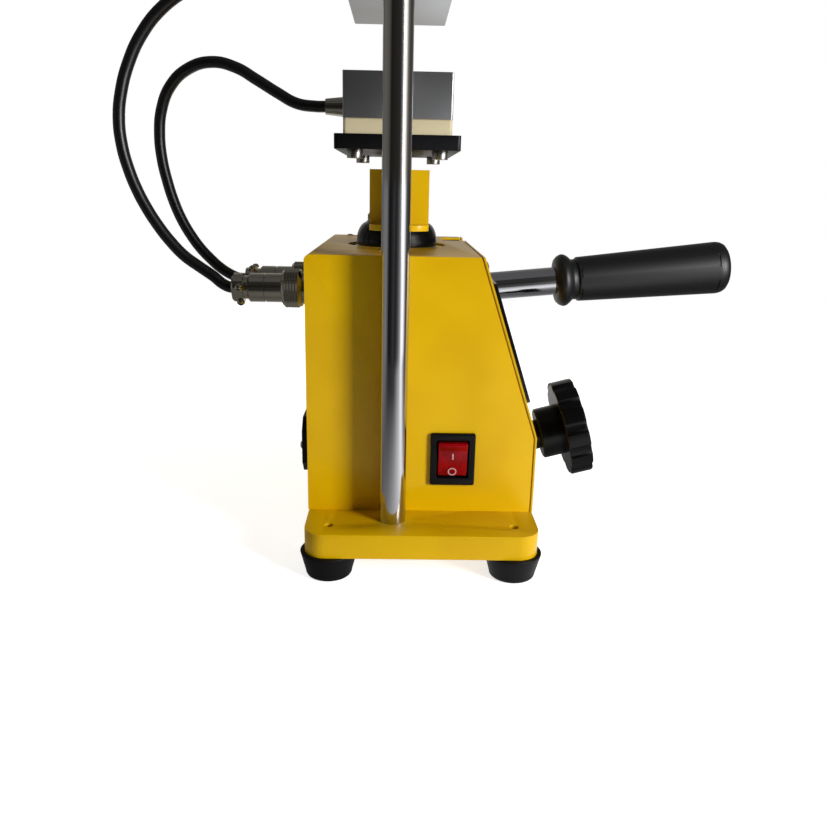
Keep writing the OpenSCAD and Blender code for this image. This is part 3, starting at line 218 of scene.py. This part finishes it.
def add_piece(name, work, finish, body=None, angle=32):
    bmesh.ops.remove_doubles(work, verts=work.verts, dist=merge_gap)
    bmesh.ops.recalc_face_normals(work, faces=work.faces)
    mesh = bpy.data.meshes.new(name)
    work.to_mesh(mesh)
    work.free()
    mesh.materials.append(finish)
    mesh.shade_smooth()
    mesh.set_sharp_from_angle(angle=math.radians(angle))
    piece = bpy.data.objects.new(name, mesh)
    scene.collection.objects.link(piece)
    if body:
        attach(piece, body)
    return piece


def stand_in(name, node, work, finish, body, angle=32):
    piece = add_piece(name, work, finish, body, angle)
    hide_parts(node)
    return piece


chrome = grained("hard_chrome_on_ground_rod", "#C4C4C8", 0.4 * mm, 0.003 * mm, stretch=(1, 1, 0.02),
                 Metallic=1, Roughness=0.1)
column_r = 7.5
stud_r = 6
chamfer = 0.6
for name in ("left_column", "right_column"):
    low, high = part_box(name)
    seat = low[2] / mm
    top = high[2] / mm
    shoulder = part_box("crossbeam")[0][2] / mm
    profile = [(0, seat), (column_r, seat), (column_r, shoulder), (stud_r, shoulder), (stud_r, top - chamfer),
               (stud_r - chamfer, top), (0, top)]
    axis_place = Matrix.Translation((0, (low[1] + high[1]) / 2, 0))
    stand_in(name + "_rod", name, turn_profile(profile, axis_place), chrome, "frame")
dress("crossbeam", enamel, 1.4 * mm)
dress("column_washers", bright_zinc, 0.2 * mm)
dress("column_nuts", bright_zinc, 0.3 * mm)
dress("beam_screws", black_oxide, 0.3 * mm)

# The heated plates are ground aluminium blocks on glass-fibre boards and black backing plates.
# Nickel-plated glands take the heater cables into their rear edges.
aluminium = grained("ground_aluminium", "#BFC1C4", 0.6 * mm, 0.01 * mm, stretch=(0.02, 1, 1), Metallic=1,
                    Roughness=0.3)
board = grained("glass_fibre_board", "#C9BD9A", 0.8 * mm, 0.04 * mm, Roughness=0.6)
nickel = grained("nickel_plated_brass", "#B2AD9E", 0.8 * mm, 0.006 * mm, Metallic=1, Roughness=0.12)
for level_name in ("upper", "lower"):
    dress(level_name + "_heated_plate", aluminium, 0.4 * mm)
    dress(level_name + "_insulator", board, 0.2 * mm)
    dress(level_name + "_backing_plate", black_oxide, 0.4 * mm)
    dress(level_name + "_platen_screws", bright_zinc, 0.15 * mm)
    dress(level_name + "_cable_gland", nickel, 0.3 * mm)

# The yoke is folded from the same enamelled steel as the housing, and a chromed stem carries the plate.
# Two return springs of bright wire hang from studs in its web, with straight legs down to the base.
dress("guide_yoke", enamel, 0.7 * mm)
dress("platen_stem", chrome, 0.3 * mm)
dress("yoke_bolt", black_oxide, 0.3 * mm)
dress("upper_spring_studs", bright_zinc, 0.15 * mm)
dress("lower_spring_studs", bright_zinc, 0.15 * mm)


def run_tube(name, points, radius, finish, body=None, sides=24, fine=8):
    line = bpy.data.curves.new(name, "CURVE")
    line.dimensions = "3D"
    spline = line.splines.new("BEZIER")
    spline.bezier_points.add(len(points) - 1)
    for spot, point in zip(spline.bezier_points, points):
        spot.co = point
        spot.handle_left_type = "AUTO"
        spot.handle_right_type = "AUTO"
    line.resolution_u = fine
    bare = bpy.data.objects.new(name, line)
    scene.collection.objects.link(bare)
    path = [tuple(v.co) for v in bare.to_mesh().vertices]
    bare.to_mesh_clear()
    bpy.data.objects.remove(bare)
    bpy.data.curves.remove(line)
    work = bmesh.new()
    rings = []
    for i, here in enumerate(path):
        before, after = Vector(path[max(i - 1, 0)]), Vector(path[min(i + 1, len(path) - 1)])
        along = (after - before).normalized()
        side = Vector((0, 1, 0))
        side = (side - along * side.dot(along)).normalized()
        turn = Matrix((side, along.cross(side), along)).transposed().to_4x4()
        turn.translation = Vector(here)
        rings.append(bmesh.ops.create_circle(work, segments=sides, radius=radius, matrix=turn)["verts"])
    for low, high in zip(rings, rings[1:]):
        for k in range(sides):
            work.faces.new((low[k], low[(k + 1) % sides], high[(k + 1) % sides], high[k]))
    work.faces.new(rings[0])
    work.faces.new(rings[-1])
    return add_piece(name, work, finish, body), path


spring_x = -1
spring_y = 55
coil_r = 5.5
wire_r = 1
curls = 16
pitch = 4.2
climb = 0.9
top_leg = 10
per_turn = 12
spring_low, spring_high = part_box("return_springs")
for side, name in ((-1, "left_spring"), (1, "right_spring")):
    top = spring_high[2] / mm
    first = top - top_leg
    last = first - curls * pitch
    inward = []
    for j in (1, 2, 3):
        reach = coil_r * (1 - j / 4)
        inward.append((reach * math.cos(j * math.pi / 4), reach * math.sin(j * math.pi / 4)))
    points = [(0, 0, top), (0, 0, first + 4 * climb)]
    points += [(x, -y, first + j * climb) for j, (x, y) in ((3, inward[2]), (2, inward[1]), (1, inward[0]))]
    for i in range(curls * per_turn + 1):
        turned = i * math.tau / per_turn
        points.append((coil_r * math.cos(turned), coil_r * math.sin(turned), first - i * pitch / per_turn))
    points += [(x, y, last - j * climb) for j, (x, y) in ((1, inward[0]), (2, inward[1]), (3, inward[2]))]
    points += [(0, 0, last - 4 * climb), (0, 0, spring_low[2] / mm)]
    hung = [Vector(p) * mm + Vector((spring_x, side * spring_y, 0)) * mm for p in points]
    spring, path = run_tube(name, hung, wire_r * mm, bright_zinc, sides=10, fine=2)
    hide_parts("return_springs")
    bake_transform(spring)

# The housing is folded sheet steel with a separate front cover, both under the yellow enamel.
# The cover carries a glossy black display panel with two windows and four keys, and a circuit board inside.
dress("housing_shell", enamel, 0.6 * mm)
dress("front_cover", enamel, 0.3 * mm)
dress("housing_screws", bright_zinc, 0.15 * mm)
dress("cover_screws", bright_zinc, 0.15 * mm)
panel = grained("gloss_black_panel", "#08080B", 3 * mm, 0.005 * mm, Roughness=0.1, IOR=1.5)
dress("display_panel", panel, 0.3 * mm)
mask = grained("green_solder_mask", "#0E4A26", 1 * mm, 0.01 * mm, Roughness=0.3)
dress("control_board", mask)
brass = grained("turned_brass", "#B08A44", 1 * mm, 0.005 * mm, Metallic=1, Roughness=0.25)
dress("board_spacers", brass)

slope_out = 34
slope_fall = 101
slope_a = math.atan2(slope_out, slope_fall)
slope_top = Vector((46, -24, 160))
panel_up = 4.4
panel_mid = 51.5
pair_side = 30
window_size = (19.6, 39.6, 0.8)
window_mid = -6.7
window_sunk = 0.3
key_row = 20
key_side = 10
key_sunk = 0.6
key_profile = [(0, 0), (4.7, 0), (4.8, 0.5), (4.4, 0.9), (0, 1)]
slope = Matrix.Translation(slope_top * mm) @ Matrix.Rotation(math.pi / 2 - slope_a, 4, "Y")
slope = slope @ Matrix.Translation((panel_mid * mm, 0, 0))
window = grained("smoked_red_window", "#2A0406", 4 * mm, 0.004 * mm, Roughness=0.08, IOR=1.5)
key_film = grained("grey_key_film", "#8F9296", 0.6 * mm, 0.01 * mm, Roughness=0.45)


def round_edges(work, radius):
    bmesh.ops.bevel(work, geom=work.edges, offset=radius * mm, segments=3, profile=0.5, affect="EDGES",
                    material=-1)


def slab(size, place, edge):
    work = bmesh.new()
    shape = Matrix.Diagonal((size[0] * mm, size[1] * mm, size[2] * mm, 1))
    bmesh.ops.create_cube(work, size=1, matrix=place @ shape)
    round_edges(work, edge)
    return work


for side in (-1, 1):
    spot = Vector((window_mid, side * pair_side, panel_up - window_sunk)) * mm
    work = slab(window_size, slope @ Matrix.Translation(spot), 0.2)
    add_piece("window_%d" % (side + 2), work, window, "frame")
    for key in (-1, 1):
        spot = Vector((key_row, side * pair_side + key * key_side, panel_up - key_sunk)) * mm
        work = turn_profile(key_profile, slope @ Matrix.Translation(spot), steps=48)
        add_piece("key_%d_%d" % (side + 2, key + 2), work, key_film, "frame")

# The rocker switch is a black nylon frame snapped into the side, with a translucent red rocker.
# White marks for on and off are printed on the rocker, and a black inlet sits in the rear wall.
plastic = grained("black_moulded_plastic", "#09090A", 0.5 * mm, 0.02 * mm, Roughness=0.36, IOR=1.5,
                  Specular_IOR_Level=0.2)
dress("rocker_frame", plastic, 0.4 * mm)
dress("power_inlet", plastic, 0.4 * mm)
dress("inlet_screws", bright_zinc, 0.15 * mm)
red, tree, shader = new_finish("red_translucent_plastic", Roughness=0.14, IOR=1.5, Specular_IOR_Level=0.2)
roughen(tree, shader, 2 * mm, 0.01 * mm)
mottle(tree, shader, "Base Color", 5 * mm, srgb("#7A010A"), srgb("#9A0310"), 2)
print_white = grained("white_print", "#C99AA2", 0.5 * mm, 0.003 * mm, Roughness=0.4)
switch_mid = Vector((34, -90, 46.4))
rocker_w = 16.6
crease = (5.9, 3.6)
foot = (-9.9, 0.9)
side_view = [(10.2, -3), (10.3, 4.4), (9.9, 5.1), (9, 5.4), crease, foot, (-10.3, 0.3), (-10.3, -3)]
work = bmesh.new()
left_x = (switch_mid.x - rocker_w / 2) * mm
outline = [work.verts.new((left_x, (switch_mid.y - out) * mm, (switch_mid.z + up) * mm))
           for up, out in side_view]
face = work.faces.new(outline)
grown = bmesh.ops.extrude_face_region(work, geom=[face])
moved = [v for v in grown["geom"] if isinstance(v, bmesh.types.BMVert)]
bmesh.ops.translate(work, verts=moved, vec=(rocker_w * mm, 0, 0))
round_edges(work, 0.35)
stand_in("rocker_key", "rocker_button", work, red, "rocker", angle=50)
face_tilt = math.atan2(crease[1] - foot[1], crease[0] - foot[0])


def on_rocker(up):
    share = (up - foot[0]) / (crease[0] - foot[0])
    out = foot[1] + share * (crease[1] - foot[1])
    spot = Matrix.Translation(Vector((switch_mid.x, switch_mid.y - out, switch_mid.z + up)) * mm)
    return spot @ Matrix.Rotation(math.pi / 2 + face_tilt, 4, "X")


off_up = -7.5
on_up = 2.1
on_mark = (0.8, 3.9, 0.14)
mark_ring = [(1.8, -0.1), (1.8, 0.06), (2.45, 0.06), (2.45, -0.1), (1.8, -0.1)]
add_piece("mark_off", turn_profile(mark_ring, on_rocker(off_up), steps=48), print_white, "rocker")
add_piece("mark_on", slab(on_mark, on_rocker(on_up), 0.04), print_white, "rocker")

# The heater plugs are nickel-plated brass, with a knurled ring, a seamed barrel and a saddle clamp.
# Each round lead has a black rubber jacket and runs up in a free loop to the gland of a heated plate.
dress("heater_sockets", nickel, 0.3 * mm)
dress("clamp_screws", nickel, 0.25 * mm)
cable_d = 7 * mm
jacket = grained("black_rubber_jacket", "#0D0D10", 0.9 * mm, 0.015 * mm, Roughness=0.3, IOR=1.5)
half_flat = 7.5
flat_from = 45.2
knurl_depth = 0.35
knurl_from = 11.9
knurl_step = 3


def saddle(angle, r, z):
    lean = max(abs(math.cos(math.radians(angle))), 0.05)
    return max(0, r - half_flat / lean) if z > flat_from else 0


def knurl(angle, r, z):
    return knurl_depth if r > knurl_from and round(angle / knurl_step) % 2 else 0


plug_profile = [(0, 11.3), (9.2, 11.3), (9.2, 21), (8.5, 21), (8.9, 21.5), (8.9, 31.2), (8.4, 31.4),
                (8.4, 32), (8.9, 32.2), (8.9, 41.2), (7.9, 42.2), (7.2, 42.4), (7.2, 45), (8.9, 45.3),
                (8.9, 51), (8, 52), (0, 52)]
first_ridge = 11
ridge_step = 1.75
ridges = [first_ridge + ridge_step * k for k in range(5)]
nut_profile = [(9.85, 9), (11.1, 9), (11.6, 10.6)]
for z in ridges:
    nut_profile += [(12.1, z), (12.1, z + 1.3), (11.7, z + 1.45), (11.7, z + 1.6)]
nut_profile += [(11.4, 19.9), (10.6, 21), (9.85, 21), (9.85, 9)]
wall_x = -49
plug_side = 22.5
plug_z = 133.5
clamp_turn = {"left": math.radians(-120), "right": 0}
for side, name in ((-1, "left"), (1, "right")):
    spot = Matrix.Translation(Vector((wall_x, side * plug_side, plug_z)) * mm)
    rearward = spot @ Matrix.Rotation(-math.pi / 2, 4, "Y")
    turned = rearward @ Matrix.Rotation(clamp_turn[name], 4, "Z")
    work = turn_profile(plug_profile, turned, 120, saddle)
    stand_in(name + "_plug_body", name + "_plug", work, nickel, "frame")
    work = turn_profile(nut_profile, rearward, 120, knurl)
    stand_in(name + "_ring", "coupling_nuts", work, nickel, "frame", angle=25)

upper_route = [
    (-101, -22.5, 133.5), (-103, -22.5, 133.5), (-107.5, -22.5, 135.5), (-113, -22.5, 140),
    (-121, -22.5, 145.5), (-130, -22.5, 152), (-138, -22.5, 160.5), (-145, -22.5, 170),
    (-151, -22.5, 180), (-156, -22.5, 190.5), (-160, -22.5, 202), (-163, -22.5, 216),
    (-163.5, -22.5, 231), (-161, -22, 246), (-156, -21, 261), (-148, -20, 276), (-136, -19, 290),
    (-120, -18, 301), (-101, -17, 308.5), (-82, -16, 312), (-66, -15, 311.5), (-52, -15, 311),
    (-46, -15, 311),
]
lower_route = [
    (-101, 22.5, 133.5), (-103, 22.5, 133.5), (-107.5, 22.5, 134.5), (-113, 22.5, 137), (-119, 22.5, 141),
    (-125, 22.5, 146.5), (-131, 22.5, 153), (-137, 22.5, 161.5), (-142.5, 22.5, 171.5), (-147, 22.5, 183),
    (-150.5, 22.5, 196), (-153, 22.5, 210), (-153.5, 22.5, 225), (-151, 22, 240), (-144, 21, 254),
    (-132, 20, 264), (-117, 19, 268), (-102, 18, 265), (-89, 17, 258), (-76, 16, 250.5), (-64, 15, 244.5),
    (-52, 15, 243), (-46, 15, 243),
]
upper_points = [Vector(p) * mm for p in upper_route]
lower_points = [Vector(p) * mm for p in lower_route]
upper_cable, upper_path = run_tube("upper_cable", upper_points, cable_d / 2, jacket, "frame")
lower_cable, lower_path = run_tube("lower_cable", lower_points, cable_d / 2, jacket)
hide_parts("upper_heater_cable")
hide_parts("lower_heater_cable")
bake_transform(lower_cable)

# The jack's castings and its domed top nut are under gloss black enamel, and its ram is chromed.
# The pump has a bright piston under a forked socket, which swings on a pin in a post.
gloss_black = grained("gloss_black_enamel", "#050505", 2.5 * mm, 0.01 * mm, Roughness=0.12, IOR=1.5,
                      Specular_IOR_Level=0.3)
for name in ("jack_tank", "jack_foot", "pump_barrel", "fulcrum_post"):
    dress(name, gloss_black, 0.5 * mm)
dress("jack_screws", black_oxide, 0.3 * mm)
dress("jack_cylinder", bright_zinc, 0.2 * mm)
dome_mid = (18.6, 162)
dome_r = (7, 11.8)
dome = []
for angle in range(0, 84, 6):
    turned = math.radians(angle)
    dome.append((dome_mid[0] + dome_r[0] * math.cos(turned), dome_mid[1] + dome_r[1] * math.sin(turned)))
nut_profile = [(14.05, 148), (38, 148), (38, 151), (31.6, 154), (25.6, 160)] + dome
nut_profile += [(18.9, 174.4), (18.6, 175), (18.6, 178.2), (17.4, 179.6), (16.6, 180), (14.05, 180),
                (14.05, 148)]
work = turn_profile(nut_profile, Matrix())
stand_in("domed_nut", "jack_top_nut", work, gloss_black, "frame", angle=40)
ram_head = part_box("ram")[1][2] / mm
ram_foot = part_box("ram")[0][2] / mm
ram_profile = [(0, ram_foot), (13.4, ram_foot), (14, ram_foot + 0.6), (14, ram_head - 10),
               (15, ram_head - 10), (15, ram_head - 0.5), (14.5, ram_head), (0, ram_head)]
stand_in("ram_rod", "ram", turn_profile(ram_profile, Matrix()), chrome, "ram_carriage")
dress("pump_piston", chrome, 0.3 * mm)
dress("pivot_pin", bright_zinc, 0.3 * mm)
dress("piston_pin", bright_zinc, 0.3 * mm)
dress("handle_socket", black_oxide, 0.5 * mm)

# The handle is a chromed bar with a hollow grip of black grained plastic pushed over its end.
# The grip has a rounded collar and a neck at its inner end, and short mould marks near both ends.
rest_a = 5.7
lever_y = 61
lever_z = 120
pivot_x = 16
grip_end = 238.6
pivot = Vector((pivot_x, lever_y, lever_z + pivot_x * math.tan(math.radians(rest_a))))
lever = Matrix.Translation(pivot * mm) @ Matrix.Rotation(math.radians(90 - rest_a), 4, "Y")
lever_l = (grip_end - pivot.x) / math.cos(math.radians(rest_a))
grip_l = 124
bar_r = 10
bar_foot = 37
bar_end = lever_l - 6
bar_profile = [(0, bar_foot), (bar_r - chamfer, bar_foot), (bar_r, bar_foot + chamfer),
               (bar_r, bar_end - chamfer), (bar_r - chamfer, bar_end), (0, bar_end)]
stand_in("handle_rod", "handle_bar", turn_profile(bar_profile, lever), chrome, "pump_handle")
grip_place = lever @ Matrix.Translation((0, 0, (lever_l - grip_l) * mm))
grain = grained("black_grained_plastic", "#0B0B0D", 0.7 * mm, 0.06 * mm, 4, Roughness=0.42, IOR=1.5)


groove_spans = ((16.9, 17.9), (114.1, 115.1))
groove_depth = 0.6
groove_gap = 60


def mould_mark(angle, r, z):
    in_groove = any(low < z < high for low, high in groove_spans)
    return groove_depth if in_groove and 14 < (angle + 20) % groove_gap < 40 else 0


grip_profile = [(10.02, 0), (13.2, 0), (15.6, 0.6), (17.6, 2.6), (18.6, 4.8), (18.75, 6), (18.2, 7.8),
                (16.8, 9.8), (15, 11.6), (14.5, 12.3), (14.5, 15.4), (15.3, 15.6), (15.8, 16.2),
                (15.85, 16.8), (15.87, 17), (15.89, 17.8), (15.91, 18), (18.5, 114), (18.52, 114.2),
                (18.54, 115), (18.56, 115.2), (18.5, 117.4), (18, 119.8), (16.9, 121.8), (15, 123.2),
                (12.5, 123.8), (8, 124), (0, 124.1), (0, 118), (10.02, 118), (10.02, 0)]
work = turn_profile(grip_profile, grip_place, 120, mould_mark)
stand_in("grip_sleeve", "handle_grip", work, grain, "pump_handle", angle=40)

# The release valve's stem carries a star knob of glossy black moulded plastic.
# Its rim has twelve broad lobes with shallow scoops between them, behind a round hub and a collar.
dress("valve_stem", bright_zinc, 0.2 * mm)
knob_plastic = grained("black_glossy_moulded_plastic", "#060607", 0.8 * mm, 0.015 * mm, Roughness=0.26,
                       IOR=1.5, Specular_IOR_Level=0.2)
valve_face = Vector((99.2, 0, 33.6))
valve_turn = math.radians(75)
valve = Matrix.Translation(valve_face * mm) @ Matrix.Rotation(valve_turn, 4, "Y")
rim_r = 32.25
scoop_gap = 30
scoop_half = 7.4
scoop_depth = 1.8
scoop_reach = 4


def scoop(angle, r, z):
    off = abs(angle % scoop_gap - scoop_gap / 2)
    if r < rim_r - scoop_reach or off >= scoop_half:
        return 0
    return scoop_depth * math.sqrt(1 - (off / scoop_half) ** 2)


knob_profile = [(0, -14), (9.4, -14), (10, -13.4), (10, 0), (16.2, 0), (17.25, 1), (17.25, 15),
                (rim_r - 5, 15), (rim_r - 0.9, 15), (rim_r - 0.3, 15.3), (rim_r, 15.9), (rim_r, 28.7),
                (rim_r - 0.3, 29.3), (rim_r - 0.9, 29.6), (rim_r - 5, 29.6), (rim_r - 6.5, 28.2),
                (13, 28.2), (12, 29.4), (10.5, 30.2), (0, 30.6)]
work = turn_profile(knob_profile, valve, 288, scoop)
stand_in("knob", "star_knob", work, knob_plastic, "release_valve", angle=26)

# The floor is a plain white disc, with a soft key lamp from the operator's side and a dim fill behind.
# Cards round the set are seen only in reflections, and give the chrome its dark and bright bands.
floor_z = cad_box[0][2]
floor_r = 0.95
floor_glow = 0.72


def seen_white(tree, low, high, target):
    kind = put(tree, "ShaderNodeLightPath")
    seen = put(tree, "ShaderNodeMath", {0: kind.outputs["Is Camera Ray"], 1: kind.outputs["Is Glossy Ray"]},
               operation="MAXIMUM")
    seen = put(tree, "ShaderNodeMath", {0: seen.outputs[0], 1: kind.outputs["Is Transmission Ray"]},
               operation="MAXIMUM")
    mixed = put(tree, "ShaderNodeMixShader", {0: seen.outputs[0], 1: low, 2: high})
    tree.links.new(mixed.outputs[0], target)


sweep = bmesh.new()
bmesh.ops.create_circle(sweep, cap_ends=True, segments=96, radius=floor_r,
                        matrix=Matrix.Translation((0, 0, floor_z)))
white, tree, shader = new_finish("white_paper", Base_Color=srgb("#FFFFFF"), Roughness=0.9)
glow = put(tree, "ShaderNodeEmission", {"Color": (1, 1, 1, 1), "Strength": floor_glow})
lit = put(tree, "ShaderNodeAddShader", {0: glow.outputs[0], 1: shader.outputs[0]})
seen_white(tree, shader.outputs[0], lit.outputs[0], tree.nodes["Material Output"].inputs["Surface"])
floor = add_piece("floor", sweep, white)

world = bpy.data.worlds.new("studio")
scene.world = world
world.use_nodes = True
tree = world.node_tree
dim = put(tree, "ShaderNodeBackground", {"Color": (1, 1, 1, 1), "Strength": 0.1})
bright = put(tree, "ShaderNodeBackground", {"Color": (1, 1, 1, 1), "Strength": 1})
seen_white(tree, dim.outputs[0], bright.outputs[0], tree.nodes["World Output"].inputs["Surface"])


# Each card's brightness goes by azimuth, from the operator's left at -90 through the lamp at 50 to 270.
lamp_level = 2
behind = (0.9, 0.84, 0.74)
plain = (1, 1, 1)
low_wall = [(-90, 0.25), (-70, 0.28), (-57, 0.16), (-46, 0.01), (-27, 0.018), (-11, 0.055), (4, 0.02),
            (19, 0.1), (35, 0.43), (44, 1.4), (51, 1.9), (58, 1.7), (69, 1), (77, 0.2), (90, 0.09),
            (112, 0.04), (145, 0.07), (160, 0.6), (170, 1), (186, 0.5), (200, 0.16), (270, 0.25)]
mid_wall = [(-90, 0.2), (-57, 0.14), (-40, 0.02), (19, 0.04), (35, 0.3), (45, 1.5), (60, 1.5), (72, 0.3),
            (95, 0.08), (130, 0.12), (150, 0.5), (210, 0.5), (230, 0.2), (270, 0.2)]
high_wall = [(-90, 0.12), (-50, 0.04), (20, 0.04), (40, 0.5), (55, 0.5), (75, 0.1), (130, 0.12), (160, 0.2),
             (220, 0.2), (270, 0.12)]
far_bench = [(-90, 0.25), (-72, 0.24), (-58, 0.14), (-41, 0.04), (-12, 0.05), (2, 0.09), (17, 0.35),
             (35, 0.78), (46, 1.5), (53, 1.45), (62, 0.7), (75, 0.18), (100, 0.07), (120, 0.17), (150, 0.6),
             (175, 0.8), (205, 0.8), (235, 0.2), (270, 0.25)]
near_bench = [(-90, 0.19), (-60, 0.15), (-45, 0.19), (-25, 0.24), (-8, 0.38), (8, 0.58), (28, 0.93),
              (45, 1.35), (58, 1), (66, 0.5), (85, 0.19), (115, 0.13), (140, 0.26), (160, 0.7), (205, 0.8),
              (235, 0.2), (270, 0.19)]
ring_r = 0.62
inner_r = 0.2
outer_r = 0.5
axis_r = 0.001
low_top = 0.2
mid_top = 0.42
roof_z = 0.9
roof_level = [(-90, 0.14), (270, 0.14)]
mix_a = 6
mix_b = 7
mix_out = 2


def by_azimuth(tree, place, levels, tint):
    turned = put(tree, "ShaderNodeTexGradient", {"Vector": place.outputs["Object"]}, gradient_type="RADIAL")
    ramp = put(tree, "ShaderNodeValToRGB", {"Fac": turned.outputs["Fac"]})
    stops = ramp.color_ramp.elements
    for azimuth, level in levels[1:-1]:
        stops.new((azimuth + 90) / 360)
    for stop, (azimuth, level) in zip(stops, levels):
        stop.color = [level * share / lamp_level for share in tint] + [1]
    return ramp.outputs["Color"]


def hang(name, low, high, levels, tint, inner_levels=None):
    made = bpy.data.materials.new(name)
    made.use_nodes = True
    tree = made.node_tree
    tree.nodes.remove(tree.nodes["Principled BSDF"])
    place = put(tree, "ShaderNodeTexCoord")
    color = by_azimuth(tree, place, levels, tint)
    if inner_levels:
        inner = by_azimuth(tree, place, inner_levels, tint)
        reach = put(tree, "ShaderNodeVectorMath", {0: place.outputs["Object"]}, operation="LENGTH")
        share = put(tree, "ShaderNodeMapRange",
                    {"Value": reach.outputs["Value"], "From Min": inner_r, "From Max": outer_r})
        mixed = put(tree, "ShaderNodeMix", {0: share.outputs["Result"], mix_a: inner, mix_b: color},
                    data_type="RGBA")
        color = mixed.outputs[mix_out]
    glow = put(tree, "ShaderNodeEmission", {"Color": color, "Strength": lamp_level})
    tree.links.new(glow.outputs[0], tree.nodes["Material Output"].inputs["Surface"])
    work = bmesh.new()
    corners = [work.verts.new((r, 0, z)) for r, z in (low, high)]
    edge = work.edges.new(corners)
    bmesh.ops.spin(work, geom=corners + [edge], axis=(0, 0, 1), cent=(0, 0, 0), steps=90, angle=math.tau)
    card = add_piece(name, work, made)
    card.visible_camera = False
    card.visible_diffuse = False
    card.visible_shadow = False
    card.visible_transmission = False


bench_z = floor_z + 1 * mm
hang("low_wall", (ring_r, bench_z), (ring_r, low_top), low_wall, plain)
hang("mid_wall", (ring_r, low_top), (ring_r, mid_top), mid_wall, behind)
hang("high_wall", (ring_r, mid_top), (ring_r, roof_z), high_wall, plain)
hang("roof", (axis_r, roof_z), (ring_r, roof_z), roof_level, plain)
hang("bench", (axis_r, bench_z), (ring_r, bench_z), far_bench, plain, near_bench)
lamp_aim = Vector((0.02, 0, 0.12))


def lamp(name, place, size, power, in_reflections=True):
    made = bpy.data.objects.new(name, bpy.data.lights.new(name, "AREA"))
    made.data.shape = "RECTANGLE"
    made.data.size, made.data.size_y = size
    made.data.energy = power
    made.location = place
    made.rotation_euler = (lamp_aim - Vector(place)).to_track_quat("-Z", "Y").to_euler()
    made.visible_glossy = in_reflections
    scene.collection.objects.link(made)


lamp("key", (0.98, -0.9, 0.42), (0.35, 0.6), 18.4)
lamp("rear_fill", (-0.7, 1.1, 0.3), (0.8, 0.6), 11, False)
